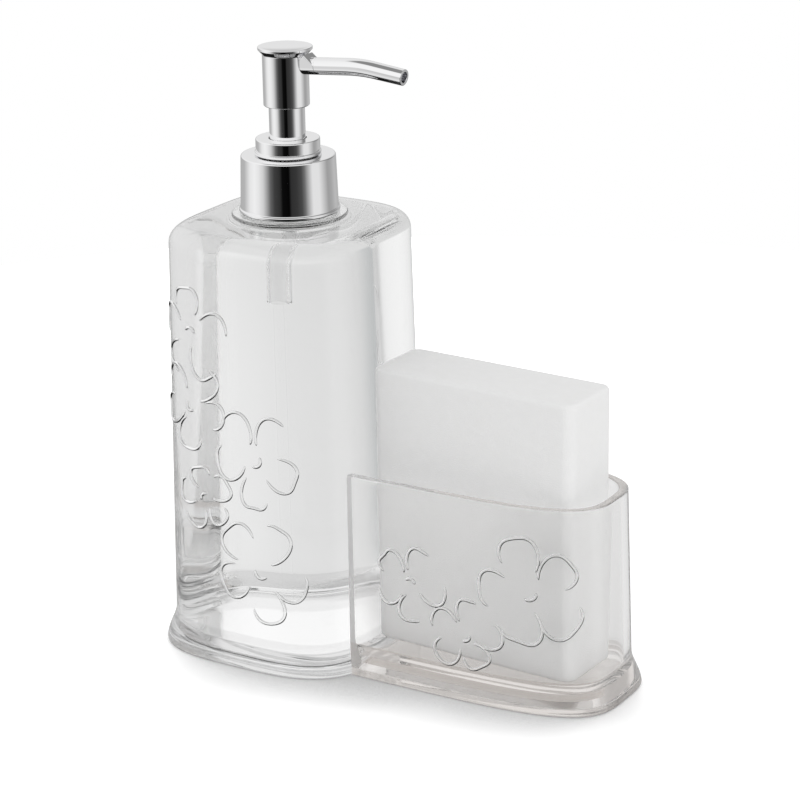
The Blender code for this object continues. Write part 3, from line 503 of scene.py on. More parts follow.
# Flowers: places along the wall from its middle and up it, sizes, turns in degrees, seeds
BOTTLE_FLOWERS = (
    (-0.0195, 0.1192, 0.0172, 20, 11),
    (-0.0195, 0.0934, 0.0160, 55, 12),
    (0.0079, 0.0776, 0.0178, 48, 13),
    (-0.0137, 0.0600, 0.0125, 100, 14),
    (0.0094, 0.0368, 0.0190, 62, 15),
)
WELL_FLOWERS = (
    (0.0616 - WELL_CENTRE_X, 0.0377, 0.0145, 62, 21),
    (0.0473, 0.0427, 0.0205, 40, 22),
    (0.0830 - WELL_CENTRE_X, 0.0228, 0.0140, 80, 23),
)


def surface_normal(point, angle, z):
    """The outward normal of a wall, from the cross product of small steps round it and up it."""
    step_angle, step_z = 1e-4, 1e-5
    x0, y0 = point(angle - step_angle, z)
    x1, y1 = point(angle + step_angle, z)
    x2, y2 = point(angle, z - step_z)
    x3, y3 = point(angle, z + step_z)
    across = np.stack([x1 - x0, y1 - y0, np.zeros_like(x0)], axis=-1)
    upward = np.stack([x3 - x2, y3 - y2, np.full_like(x0, 2 * step_z)], axis=-1)
    normal = np.cross(across, upward)
    return normal / np.linalg.norm(normal, axis=-1, keepdims=True)


def wall_table(point, z):
    """Distance along a wall at height z, from the middle of its front, against polar angle."""
    angle = np.linspace(-pi, 0, 2001)
    x, y = point(angle, np.full_like(angle, z))
    along = np.concatenate([[0], np.cumsum(np.hypot(np.diff(x), np.diff(y)))])
    return along - along[len(along) // 2], angle


def petal_line(reach, width, root, start, end, notch):
    """Points along a part of a petal's outline, seen flat.

    The petal runs along u and is width wide. Over t from -1 to 1 it goes out and back as
    root + (reach - root)(1 + cos pi t) / 2 and across as sin(pi t)(0.84 + 0.16 cos pi t), an oval
    that is wider towards its tip, and notch draws the tip in.
    """
    t = np.linspace(start, end, LINE_STATIONS)
    u = root + (reach - root) * (1 + np.cos(pi * t)) / 2 - notch * np.exp(-((t / 0.16) ** 2))
    v = width / 2 * np.sin(pi * t) * (0.84 + 0.16 * np.cos(pi * t))
    return np.stack([u, v], axis=-1)


def centre_line(radius, start, sweep):
    """A short arc round the flower's centre."""
    angle = start + np.linspace(0, sweep, LINE_STATIONS)
    return np.stack([radius * np.cos(angle), radius * np.sin(angle)], axis=-1)


def flower_lines(centre_along, centre_z, size, turn, seed):
    """The lines of one flower on the flat wall: petals whose outlines are drawn only in part, as
    one stroke from the root over the tip and some way back, and a curl in the middle.

    Each petal's length, width, tip and the parts of it that are drawn vary by seed.
    """
    random = np.random.default_rng(seed)
    lines = []
    for step in range(PETALS):
        swing = radians(turn) + 2 * pi * (step + random.uniform(-0.10, 0.10)) / PETALS
        reach = size * random.uniform(0.90, 1.06)
        width = size * random.uniform(0.70, 0.88)
        root = size * random.uniform(0.20, 0.30)
        notch = size * random.uniform(0.0, 0.08)
        side = 1 if random.uniform() < 0.5 else -1
        first = -side * random.uniform(0.70, 0.92)
        last = side * random.uniform(0.05, 0.66)
        lines.append((petal_line(reach, width, root, first, last, notch), swing))
    curl = centre_line(size * 0.13, random.uniform(0, 2 * pi), random.uniform(2.2, 3.6))
    lines.append((curl, 0.0))
    placed = []
    for flat, swing in lines:
        turned_u = flat[:, 0] * cos(swing) - flat[:, 1] * sin(swing)
        turned_v = flat[:, 0] * sin(swing) + flat[:, 1] * cos(swing)
        placed.append(np.stack([centre_along + turned_u, centre_z + turned_v], axis=-1))
    return placed


def make_flowers(name, point, flowers):
    """Raised lines on a wall, one closed lens section carried along each stroke.

    A stroke is points of (distance along the wall, height). They are put on the wall, and the
    section stands on the wall's own normal and thins out to nothing at both ends.
    """
    points, faces = [], []
    count = 0
    table_z = 0.06
    along, angles = wall_table(point, table_z)
    section = whole_turn(LINE_SIDES)
    lift = np.where(np.sin(section) > 0, LINE_HEIGHT, LINE_SUNK) * np.sin(section)
    across = LINE_WIDTH / 2 * np.cos(section)
    share = np.linspace(0, 1, LINE_STATIONS)
    thin = (1 - (2 * share - 1) ** 6) ** 0.5
    thin[0] = thin[-1] = 0.02
    last = (LINE_STATIONS - 1) * LINE_SIDES
    quads = grid_faces(LINE_STATIONS, LINE_SIDES, False)[:, ::-1]
    for stroke in (line for flower in flowers for line in flower_lines(*flower)):
        angle = np.interp(stroke[:, 0], along, angles)
        x, y = point(angle, stroke[:, 1])
        line = np.stack([x, y, stroke[:, 1]], axis=-1)
        normal = surface_normal(point, angle, stroke[:, 1])
        forward = np.gradient(line, axis=0)
        forward /= np.linalg.norm(forward, axis=1, keepdims=True)
        side = np.cross(normal, forward)
        rings = (
            line[:, None, :]
            + side[:, None, :] * (across * thin[:, None])[:, :, None]
            + normal[:, None, :] * (lift * thin[:, None])[:, :, None]
        )
        points.append(rings.reshape(-1, 3))
        faces += (quads + count).tolist()
        faces.append([count + at for at in range(LINE_SIDES)])
        faces.append([count + last + at for at in reversed(range(LINE_SIDES))])
        count += LINE_STATIONS * LINE_SIDES
    return add_mesh(name, np.concatenate(points), faces)


# Neck and its thread
NECK_OUTER = 0.0134
NECK_BORE = 0.0112
PLUG_RADIUS = 0.0166
PLUG_BORE = PLUG_RADIUS - 0.0016
FLANGE_THICKNESS = 0.0013
THREAD_TURNS = 2.0
THREAD_PITCH = 0.0034
THREAD_HEIGHT = 0.0009
THREAD_START = 0.0040
THREAD_SUNK = 0.0001


def make_neck():
    """The clear neck: its plug in the bottle's hole, the flange on the bead, and the bore."""
    flange = (neck_high.x - neck_low.x) / 2
    flange_foot = shell_high.z + GAP
    flange_top = flange_foot + FLANGE_THICKNESS
    return turned("clear_neck", [
        (PLUG_RADIUS, neck_low.z, 0.0003),
        (PLUG_RADIUS, flange_foot, 0.0001),
        (flange, flange_foot, 0.0003),
        (flange, flange_top, 0.0005),
        (NECK_OUTER, flange_top, 0.0003),
        (NECK_OUTER, neck_high.z, 0.0004),
        (NECK_BORE, neck_high.z, 0.0003),
        (NECK_BORE, flange_foot, 0.0004),
        (PLUG_BORE, flange_foot, 0.0003),
        (PLUG_BORE, neck_low.z, 0.0003),
    ])


def make_thread():
    """The neck's thread: a rounded ridge on a helix that fades out at both ends."""
    share = np.linspace(0, 1, 160)
    spin = share * THREAD_TURNS * 2 * pi
    fade = np.clip(np.minimum(share, 1 - share) * 14, 0.03, 1)[:, None]
    section = whole_turn(10)
    climb = shell_high.z + THREAD_START + THREAD_PITCH * THREAD_TURNS * share[:, None]
    out = NECK_OUTER - THREAD_SUNK + THREAD_HEIGHT / 3 * fade * np.cos(section)
    up = climb + THREAD_HEIGHT * 0.7 * fade * np.sin(section)
    x = PUMP_X + out * np.cos(spin)[:, None]
    y = out * np.sin(spin)[:, None]
    return skin("neck_thread", np.stack([x, y, up], axis=-1)[:, ::-1, :])


def make_collar():
    """The chrome skirt: a wall that leans out a little to a rolled lip at its foot, and a flat top
    with a hole for the bush."""
    lip = (collar_high.x - collar_low.x) / 2
    top, foot = collar_high.z, collar_low.z
    outer, taper, wall, hole = 0.0165, 0.0006, 0.00065, 0.0086
    return turned("chrome_collar", [
        (lip, foot, 0.0004),
        (lip, foot + 0.0011, 0.0005),
        (outer + taper, foot + 0.0014, 0.0004),
        (outer, top, 0.0006),
        (hole, top, 0.0001),
        (hole, top - wall, 0.0001),
        (outer - wall, top - wall, 0.0004),
        (outer + taper - wall, foot, 0.0001),
    ])


def make_hub():
    """The smaller chrome ring on the collar, with a bead at its foot and the stem's hole."""
    foot, top = hub_low.z, hub_high.z
    bead = (hub_high.x - hub_low.x) / 2
    outer, inner, hole, wall = bead - 0.0004, 0.0105, 0.00655, 0.0007
    return turned("chrome_hub", [
        (bead, foot, 0.0003),
        (bead, foot + 0.0010, 0.0004),
        (outer, foot + 0.0012, 0.0002),
        (outer, top, 0.0005),
        (hole, top, 0.0003),
        (hole, top - wall, 0.0001),
        (inner, top - wall, 0.0001),
        (inner, foot, 0.0001),
    ])


def make_sleeve():
    """The chrome tube round the stem."""
    outer, inner = (sleeve_high.x - sleeve_low.x) / 2, 0.00565
    foot, top = sleeve_low.z, sleeve_high.z
    corners = [(outer, foot), (outer, top), (inner, top), (inner, foot)]
    return turned("chrome_sleeve", [(*corner, 0.0002) for corner in corners])


# Head
HEAD_RADIUS = 0.0080
HEAD_INNER = 0.0073
HEAD_DEPTH = 0.0160
DISC_RADIUS = 0.00947
DISC_RIM = 0.0010
DISC_TAPER = 0.0016
DISC_DISH = 0.0004


def make_head():
    """The chrome head: a hollow cylinder with a flat disc that overhangs it on a cone. The disc's
    top is a shallow bowl, whose depth at a share s of its radius goes with 1 - s^2."""
    foot, top = head_low.z, head_high.z
    share = np.linspace(1, 0, 14)[:-1]
    corners = softened(
        [
            (0.0001, foot + HEAD_DEPTH, 0),
            (HEAD_INNER, foot + HEAD_DEPTH, 0.0003),
            (HEAD_INNER, foot, 0.0001),
            (HEAD_RADIUS, foot, 0.0004),
            (HEAD_RADIUS, top - DISC_RIM - DISC_TAPER, 0.0006),
            (DISC_RADIUS, top - DISC_RIM, 0.0003),
            (DISC_RADIUS, top, 0.0003),
            (DISC_RADIUS - 0.0007, top, 0.0003),
        ],
        closed=False,
    )
    radius = np.concatenate([corners[:, 0], (DISC_RADIUS - 0.0008) * share])
    height = np.concatenate([corners[:, 1], top - DISC_DISH * (1 - share**2)])
    return skin("chrome_head", circle_rings(radius, height, 192))


# Spout and the boss that carries it
SPOUT_AXIS_Z = head_high.z - 0.0067
SPOUT_ROOT_X = 0.0026
SPOUT_BEND_X = 0.0305
SPOUT_TIP_X = 0.0474
SPOUT_RISE = 0.0740
SPOUT_FALL = 0.1180
SPOUT_BEND_RADIUS = 0.055
SPOUT_RADIUS = 0.00295
SPOUT_TIP_RADIUS = 0.0028
SPOUT_EDGE = 0.00015
SPOUT_BORE = 0.0018
SPOUT_BORE_DEPTH = 0.016
SPOUT_STEP = 0.0006
SPIGOT_RADIUS = 0.0022
BOSS_MARKS_X = (0.0066, 0.00925, 0.0123, 0.0130)
BOSS_ROOF = (0.0020, 0.0042, 0.0014, 0.0002)
BOSS_ROOT_X, BOSS_END_X = BOSS_MARKS_X[0], BOSS_MARKS_X[-1]
BOSS_POWER = 22


def spout_centre(count):
    """The spout's centre line: a straight rise, a round bend and a straight fall to the tip.

    Gives the points, the directions there and the distances along the line.
    """
    rise, fall = atan(SPOUT_RISE), -atan(SPOUT_FALL)
    reach = SPOUT_BEND_RADIUS * tan((rise - fall) / 2)
    first = (SPOUT_BEND_X - SPOUT_ROOT_X) / cos(rise) - reach
    bend = SPOUT_BEND_RADIUS * (rise - fall)
    second = (SPOUT_TIP_X - SPOUT_BEND_X) / cos(fall) - reach
    distance = np.linspace(0, first + bend + second, count)

    def slope(at):
        return rise + (fall - rise) * np.clip((at - first) / bend, 0, 1)

    fine = np.linspace(0, distance[-1], 4000)
    fine_slope = slope(fine[:-1])
    steps = np.diff(fine)
    x, z = (
        np.interp(distance, fine, np.concatenate([[0], np.cumsum(part(fine_slope) * steps)]))
        for part in (np.cos, np.sin)
    )
    start_z = SPOUT_AXIS_Z + SPOUT_ROOT_X * SPOUT_RISE
    return PUMP_X + SPOUT_ROOT_X + x, start_z + z, slope(distance), distance


def spout_rings(centre_x, centre_z, lean, radius, sides):
    """Rings square to the spout's centre line, of the given radii."""
    angle = whole_turn(sides)
    rise, run = np.cos(lean)[:, None], -np.sin(lean)[:, None]
    radius = np.broadcast_to(radius.reshape(len(centre_x), -1), (len(centre_x), sides))
    up = radius * np.sin(angle)
    side = radius * np.cos(angle)
    x, z = centre_x[:, None] + up * run, centre_z[:, None] + up * rise
    return np.stack([x, side, z], axis=-1)


def make_spout():
    """The bent chrome spout: a thin spigot in the head, a shoulder, a round section that narrows a
    little to a rounded rim, and a bore that runs back inside it."""
    x, z, slope, distance = spout_centre(160)
    length = distance[-1]
    shoulder = (BOSS_END_X + SUPPORT - SPOUT_ROOT_X) / cos(atan(SPOUT_RISE))
    bend = (SPOUT_BEND_X - SPOUT_ROOT_X) / cos(atan(SPOUT_RISE))
    outer = softened(
        [
            (SPIGOT_RADIUS, 0.0, 0),
            (SPIGOT_RADIUS, shoulder, 0),
            (SPOUT_RADIUS, shoulder, SPOUT_EDGE),
            (SPOUT_RADIUS, bend, 0),
            (SPOUT_TIP_RADIUS, length, SPOUT_EDGE),
            (SPOUT_BORE, length, SPOUT_EDGE),
            (SPOUT_BORE, length - SPOUT_BORE_DEPTH, 0),
        ],
        closed=False,
    )
    parts = [outer[:1]]
    for start, end in zip(outer[:-1], outer[1:]):
        steps = max(int(abs(end[1] - start[1]) / SPOUT_STEP), 1)
        share = np.arange(1, steps + 1)[:, None] / steps
        parts.append(start + (end - start) * share)
    radius, at = np.concatenate(parts).T
    centre_x, centre_z = np.interp(at, distance, x), np.interp(at, distance, z)
    rings = spout_rings(centre_x, centre_z, np.interp(at, distance, slope), radius, 72)
    return skin("chrome_spout", rings, sharp=radians(50))


def make_boss():
    """The boss that carries the spout on the head: a round chin below and flat cheeks with a roof
    above, r(a) = max(R, ((|cos a| / R)^p + (sin a / roof)^p)^(-1/p)), where the roof rises out of
    the cylinder to a peak and falls to the spout."""
    x = np.linspace(BOSS_ROOT_X, BOSS_END_X, 90)
    roof = np.interp(x, BOSS_MARKS_X, BOSS_ROOF)
    count = 240
    angle = whole_turn(count)
    up = np.maximum(np.sin(angle), 0)
    cheeks = (np.abs(np.cos(angle)) / SPOUT_RADIUS) ** BOSS_POWER
    box = (cheeks + (up / roof[:, None]) ** BOSS_POWER) ** (-1 / BOSS_POWER)
    radius = np.where(np.sin(angle) > 0, np.maximum(SPOUT_RADIUS, box), SPOUT_RADIUS)
    centre_x, centre_z = PUMP_X + x, SPOUT_AXIS_Z + x * SPOUT_RISE
    rings = spout_rings(centre_x, centre_z, np.full(len(x), atan(SPOUT_RISE)), radius, count)
    upper = rings[..., 2] > centre_z[:, None]
    rings[..., 0] = np.where(upper, centre_x[:, None], rings[..., 0])
    return skin("spout_boss", rings[:, ::-1], sharp=radians(25))


def make_housing():
    """The pump housing: flange, barrel in the neck, valve chamber and the socket of the tube."""
    flange, rim = (housing_high.x - housing_low.x) / 2, 0.0014
    top, foot = housing_high.z, housing_low.z
    barrel, bore, stub, socket = 0.00875, 0.00775, 0.0031, 0.0022
    throat, chamber, inlet = 0.0017, 0.0025, 0.0012
    cone_top, cone_foot = 0.15215, 0.15015
    chamber_foot, inlet_top, inlet_foot = 0.1452, 0.1440, 0.1429
    corners = [
        (stub, foot, 0.0003),
        (stub, cone_foot, 0.0006),
        (barrel, cone_top + 0.0020, 0.0010),
        (barrel, top - rim, 0.0002),
        (flange, top - rim, 0.0003),
        (flange, top, 0.0003),
        (bore, top, 0.0002),
        (bore, cone_top + 0.0008, 0.0005),
        (throat, cone_top, 0.0002),
        (throat, cone_foot, 0.0002),
        (chamber, cone_foot, 0.0002),
        (chamber, chamber_foot, 0.0003),
        (inlet, inlet_top, 0.0002),
        (inlet, inlet_foot, 0.0002),
        (socket, inlet_foot, 0.0002),
        (socket, foot, 0.0002),
    ]
    return turned("clear_housing", corners, around=128)


def make_tube():
    """The dip tube: a round tube whose foot is cut on a slant."""
    outer, wall, slant = 0.0019, 0.0006, tan(0.6)
    top, foot = tube_high.z, tube_low.z
    angle = whole_turn(96)
    shares = np.linspace(0, 1, 24)

    def column(radius, shares):
        ring_x = radius * np.cos(angle)
        cut = foot + outer * slant - ring_x * slant
        z = cut + (top - cut) * shares[:, None]
        x = np.broadcast_to(PUMP_X + ring_x, z.shape)
        y = np.broadcast_to(radius * np.sin(angle), z.shape)
        return np.stack([x, y, z], axis=-1)

    rings = np.concatenate([column(outer, shares), column(outer - wall, shares[::-1])])
    return skin("clear_tube", rings, closed=True, sharp=radians(50))


def make_spring():
    """The return spring: the node's own coil, its loose triangles joined, shaded smooth."""
    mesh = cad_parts["return_spring"].data.copy()
    mesh.name = "coil_spring"
    shape = bmesh.new()
    shape.from_mesh(mesh)
    bmesh.ops.remove_doubles(shape, verts=shape.verts, dist=0.000001)
    shape.to_mesh(mesh)
    shape.free()
    mesh.materials.clear()
    return add_object("coil_spring", mesh, radians(60))


# Sponge
SPONGE_THICKNESS = 0.0278
SPONGE_TURN = -0.057
SPONGE_CORNER = 0.0040
SPONGE_EDGE = 0.0015
SPONGE_LEAN = 0.0012
SPONGE_LEAN_FOOT = 0.030
SPONGE_LEAN_RISE = 0.050
SPONGE_CROWN = 0.0002
SPONGE_PULL = 0.00015
SPONGE_ROOM = 0.0002
SPONGE_AROUND = 320


def rounded_box_ring(half_x, half_y, corner, count):
    """Points round a rectangle with round corners, at even distances, anticlockwise."""
    fine = np.linspace(0, 1, 9)
    outline = [(half_x, 0.0)]
    corners = [(1, 1, 0), (-1, 1, pi / 2), (-1, -1, pi), (1, -1, 3 * pi / 2)]
    for sign_x, sign_y, start in corners:
        angle = start + fine * pi / 2
        cx, cy = sign_x * (half_x - corner), sign_y * (half_y - corner)
        outline += list(zip(cx + corner * np.cos(angle), cy + corner * np.sin(angle)))
    outline.append((half_x, 0.0))
    x, y = np.array(outline).T
    along = np.concatenate([[0], np.cumsum(np.hypot(np.diff(x), np.diff(y)))])
    at = np.arange(count) / count * along[-1]
    return np.stack([np.interp(at, along, x), np.interp(at, along, y)], axis=-1)


def make_sponge():
    """The sponge: a block with round upright corners and soft edges, its faces gently crowned and
    uneven by a slow wave, so that it reads as foam and not as a box.

    Its rings are (height, inset, share of the outline). The top is raised by its crown, which is
    1 - y^2 by 1 - x^4 and uneven by a product of waves along x and y, its sides are pulled in
    between foot and top, and its left end leans out by an eased step up its height.
    """
    turn = abs(SPONGE_TURN)
    size_x = (sponge_high.x - sponge_low.x - SPONGE_THICKNESS * sin(turn)) / cos(turn)
    half_x = size_x / 2 + SPONGE_CORNER * (cos(turn) + sin(turn) - 1) - SPONGE_ROOM
    half_y = SPONGE_THICKNESS / 2
    foot, top = sponge_low.z, sponge_high.z
    wall_top = top - SPONGE_EDGE - SPONGE_CROWN
    rise, run = quarter(6)
    edge = SPONGE_EDGE
    levels = [(foot, edge, share) for share in np.linspace(0.04, 1, 10)[:-1]]
    levels += [(foot + edge * up, edge * (1 - over), 1.0) for up, over in zip(run, rise)]
    levels += [(z, 0.0, 1.0) for z in np.linspace(foot + edge, wall_top, 40)[1:]]
    levels += [(wall_top + edge * up, edge * over, 1.0) for up, over in zip(rise[1:], run[1:])]
    levels += [(top - SPONGE_CROWN, edge, share) for share in np.linspace(1, 0.04, 24)[1:]]
    rings = []
    for level, inset, share in levels:
        sizes = (half_x - inset, half_y - inset, SPONGE_CORNER - inset)
        ring = rounded_box_ring(*sizes, SPONGE_AROUND) * share
        rings.append(np.concatenate([ring, np.full((SPONGE_AROUND, 1), level)], axis=1))
    x, y, z = np.moveaxis(np.array(rings), -1, 0)
    across = np.clip(1 - (y / half_y) ** 2, 0, 1) * np.clip(1 - (x / half_x) ** 4, 0, 1)
    near_top = np.clip((z - (top - 0.004)) / 0.003, 0, 1)
    slow = 0.5 + 0.5 * np.sin(x * 95 + 0.7) * np.cos(y * 160 + 0.3)
    z = z + SPONGE_CROWN * near_top * across * (0.55 + 0.45 * slow)
    height = np.clip((z - foot) / (top - foot), 0, 1)
    climb = np.clip((z - SPONGE_LEAN_FOOT) / SPONGE_LEAN_RISE, 0, 1)
    swell = climb**2 * (3 - 2 * climb)
    pull = SPONGE_PULL * np.sin(pi * height) * (0.6 + 0.4 * np.sin(x * 70 + z * 45))
    y = y * (1 - pull / half_y)
    x = x - SPONGE_LEAN * swell * np.clip(-x / half_x, 0, 1)
    middle_x = (sponge_low.x + sponge_high.x) / 2
    middle_y = (sponge_low.y + sponge_high.y) / 2
    world_x = middle_x + x * cos(SPONGE_TURN) - y * sin(SPONGE_TURN)
    world_y = middle_y + x * sin(SPONGE_TURN) + y * cos(SPONGE_TURN)
    return skin("foam_sponge", np.stack([world_x, world_y, z], axis=-1))


def add_node(tree, kind, inputs=None, **settings):
    """A shader node. Each of its inputs is linked to a given socket, or set to a given value."""
    node = tree.nodes.new("ShaderNode" + kind)
    for name, value in settings.items():
        setattr(node, name, value)
    for name, value in (inputs or {}).items():
        if isinstance(value, bpy.types.NodeSocket):
            tree.links.new(value, node.inputs[name])
        else:
            node.inputs[name].default_value = value
    return node


def calculate(tree, operation, first, second):
    """A Math node on two sockets, or on a socket and a number."""
    return add_node(tree, "Math", {0: first, 1: second}, operation=operation).outputs["Value"]


def grey(value):
    """A grey of the given brightness, as a colour with alpha."""
    return (value, value, value, 1)


def mixed(tree, factor, first, second):
    """Mix two colours, or numbers standing for greys, by a factor."""
    first, second = (grey(end) if isinstance(end, float) else end for end in (first, second))
    inputs = {"Factor": factor, "A": first, "B": second}
    return add_node(tree, "Mix", inputs, data_type="RGBA").outputs["Result"]


def eased(tree, value, low, high, start=0.0, end=1.0):
    """A smooth step of a value between two marks, from start to end."""
    inputs = {"Value": value, "From Min": low, "From Max": high, "To Min": start, "To Max": end}
    step = add_node(tree, "MapRange", inputs, interpolation_type="SMOOTHSTEP")
    return step.outputs["Result"]


def new_material(name):
    """A material without nodes, its tree, and the socket that takes its surface."""
    material = bpy.data.materials.new(name)
    material.use_nodes = True
    tree = material.node_tree
    tree.nodes.clear()
    return material, tree, add_node(tree, "OutputMaterial").inputs["Surface"]


# What each material gives to the shared surface marks, in this order
SURFACE_VALUES = (
    "Wave Scale", "Wave Depth", "Mark Scale", "Mark Depth", "Low Roughness", "High Roughness",
)
WAVE_DETAIL, MARK_DETAIL = 1.0, 3.0
BUMP_DISTANCE = 0.001


def surface_group():
    """The marks that all moulded and plated surfaces share: a slow waviness of the mould, fine
    handling marks, and the uneven gloss that goes with them."""
    group = bpy.data.node_groups.new("moulded_surface", "ShaderNodeTree")
    for name in SURFACE_VALUES:
        group.interface.new_socket(name, in_out="INPUT", socket_type="NodeSocketFloat")
    for name, kind in (("Roughness", "NodeSocketFloat"), ("Normal", "NodeSocketVector")):
        group.interface.new_socket(name, in_out="OUTPUT", socket_type=kind)
    given = group.nodes.new("NodeGroupInput").outputs
    out = group.nodes.new("NodeGroupOutput").inputs
    coordinates = add_node(group, "TexCoord").outputs["Object"]
    before = {}
    for mark, detail in (("Wave", WAVE_DETAIL), ("Mark", MARK_DETAIL)):
        scale = {"Vector": coordinates, "Scale": given[mark + " Scale"], "Detail": detail}
        height = add_node(group, "TexNoise", scale).outputs["Fac"]
        depth = {"Height": height, "Strength": given[mark + " Depth"], "Distance": BUMP_DISTANCE}
        bump = add_node(group, "Bump", {**depth, **before})
        before = {"Normal": bump.outputs["Normal"]}
    spread = add_node(group, "MapRange", {
        "Value": height, "From Min": 0.35, "From Max": 0.65,
        "To Min": given["Low Roughness"], "To Max": given["High Roughness"],
    })
    group.links.new(spread.outputs["Result"], out["Roughness"])
    group.links.new(before["Normal"], out["Normal"])
    return group


moulded_surface = surface_group()


def add_surface(tree, shader, values):
    """Place the shared surface marks in a material and join them to its shader."""
    marks = add_node(tree, "Group", node_tree=moulded_surface)
    for name, value in zip(SURFACE_VALUES, values):
        marks.inputs[name].default_value = value
    for name in ("Normal", "Roughness"):
        tree.links.new(marks.outputs[name], shader.inputs[name])
    return marks


def clear_material(name, colour, ior, gloss=(0.0, 0.0), clarity=1.0):
    """Clear moulded plastic. Lamps shine through it, because its shadow is only a pale tint, and
    what the chrome mirrors is the room beyond it."""
    material, tree, surface = new_material(name)
    inputs = {"Base Color": (*colour, 1), "Transmission Weight": clarity, "IOR": ior}
    shader = add_node(tree, "BsdfPrincipled", inputs)
    add_surface(tree, shader, (*CLEAR_MARKS, *gloss))
    passing = add_node(tree, "BsdfTransparent", {"Color": grey(SHADOW_TINT)})
    path = add_node(tree, "LightPath").outputs
    mirrored = calculate(tree, "GREATER_THAN", path["Glossy Depth"], 0.5)
    outside = calculate(tree, "LESS_THAN", path["Transmission Depth"], 0.5)
    reflected = calculate(tree, "MULTIPLY", mirrored, outside)
    passes = calculate(tree, "MAXIMUM", reflected, path["Is Shadow Ray"])
    ends = {"Fac": passes, 1: shader.outputs["BSDF"], 2: passing.outputs["BSDF"]}
    tree.links.new(add_node(tree, "MixShader", ends).outputs["Shader"], surface)
    return material


def solid_material(name, colour, metallic, values):
    """An opaque moulded, plated or drawn finish with the shared surface marks."""
    material, tree, surface = new_material(name)
    shader = add_node(tree, "BsdfPrincipled", {"Metallic": metallic})
    marks = add_surface(tree, shader, values)
    worn = (*(value * WORN_SHARE for value in colour), 1)
    tint = mixed(tree, marks.outputs["Roughness"], (*colour, 1), worn)
    tree.links.new(tint, shader.inputs["Base Color"])
    tree.links.new(shader.outputs["BSDF"], surface)
    return material


def foam_material():
    """White foam: fine open pores over softer mottling, pale and without gloss."""
    material, tree, surface = new_material("white_foam")
    coordinates = add_node(tree, "TexCoord").outputs["Object"]
    pores = add_node(tree, "TexVoronoi", {"Vector": coordinates, "Scale": 2600.0})
    grain = {"Vector": coordinates, "Scale": 260.0, "Detail": 4.0}
    mottle = add_node(tree, "TexNoise", grain).outputs["Fac"]
    height = calculate(tree, "MULTIPLY", pores.outputs["Distance"], mottle)
    bump = add_node(tree, "Bump", {"Strength": 0.35, "Distance": 0.0004, "Height": height})
    shader = add_node(tree, "BsdfPrincipled", {
        "Base Color": mixed(tree, mottle, (0.86, 0.86, 0.855, 1), (0.90, 0.90, 0.90, 1)),
        "Normal": bump.outputs["Normal"],
        "Roughness": 0.9,
        "Specular IOR Level": 0.15,
    })
    tree.links.new(shader.outputs["BSDF"], surface)
    return material


# Clear plastic, and the liquid that it is drawn against on its wet side
CLEAR_IOR = 1.49
LIQUID_IOR = 1.34
WET_IOR = CLEAR_IOR / LIQUID_IOR
HOUSING_IOR = 1.30
TUBE_IOR = 1.012
SHADOW_TINT = 0.99
CLEAR_MARKS = (45.0, 0.05, 700.0, 0.0)

# The share of its colour that a solid finish keeps where it is dull
WORN_SHARE = 0.96

WHITE = (1.0, 1.0, 1.0)
clear = clear_material("clear_plastic", (0.99, 0.992, 0.99), CLEAR_IOR)
clear_wet = clear_material("clear_plastic_wet", WHITE, WET_IOR)
well_clear = clear_material("well_plastic", (0.987, 0.985, 0.983), CLEAR_IOR)
# Darker grey copies of the clear plastic for the feet and plates of bottle and well: painted shade
well_shaded_foot = clear_material("well_shaded_foot_plastic", (0.76, 0.725, 0.70), CLEAR_IOR)
bottle_shaded_foot = clear_material("bottle_shaded_foot_plastic", (0.80, 0.80, 0.80), CLEAR_IOR)
joint_plastic = clear_material("joint_plastic", WHITE, CLEAR_IOR, (0.45, 0.55), 0.20)
soft_wet = clear_material("clear_plastic_matt", WHITE, WET_IOR, (0.12, 0.16))
housing_clear = clear_material(
    "housing_plastic", (0.96, 0.96, 0.96), HOUSING_IOR, (0.0, 0.03), 0.97
)
tube_clear = clear_material("tube_plastic", WHITE, TUBE_IOR)
chrome = solid_material(
    "chrome_plate", (0.93, 0.93, 0.935), 1.0, (60.0, 0.0, 1500.0, 0.0, 0.015, 0.04)
)
white_plastic = solid_material(
    "white_plastic", (0.86, 0.86, 0.85), 0.0, (120.0, 0.05, 2200.0, 0.05, 0.30, 0.42)
)
seal_plastic = solid_material(
    "seal_plastic", (0.80, 0.81, 0.82), 0.0, (120.0, 0.05, 2600.0, 0.04, 0.35, 0.5)
)
grey_rubber = solid_material(
    "grey_rubber", (0.50, 0.51, 0.52), 0.0, (200.0, 0.05, 3000.0, 0.15, 0.55, 0.75)
)
spring_steel = solid_material(
    "spring_steel", (0.62, 0.62, 0.63), 1.0, (300.0, 0.02, 4000.0, 0.08, 0.18, 0.32)
)
foam = foam_material()


def place(obj, body, material_slot, materials, *nodes):
    """Give a piece its materials and its body, and hide the nodes it stands for. Its material_slot
    is not used.
    """
    for material in materials:
        obj.data.materials.append(material)
    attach(obj, body)
    if nodes:
        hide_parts(*nodes)
    return obj


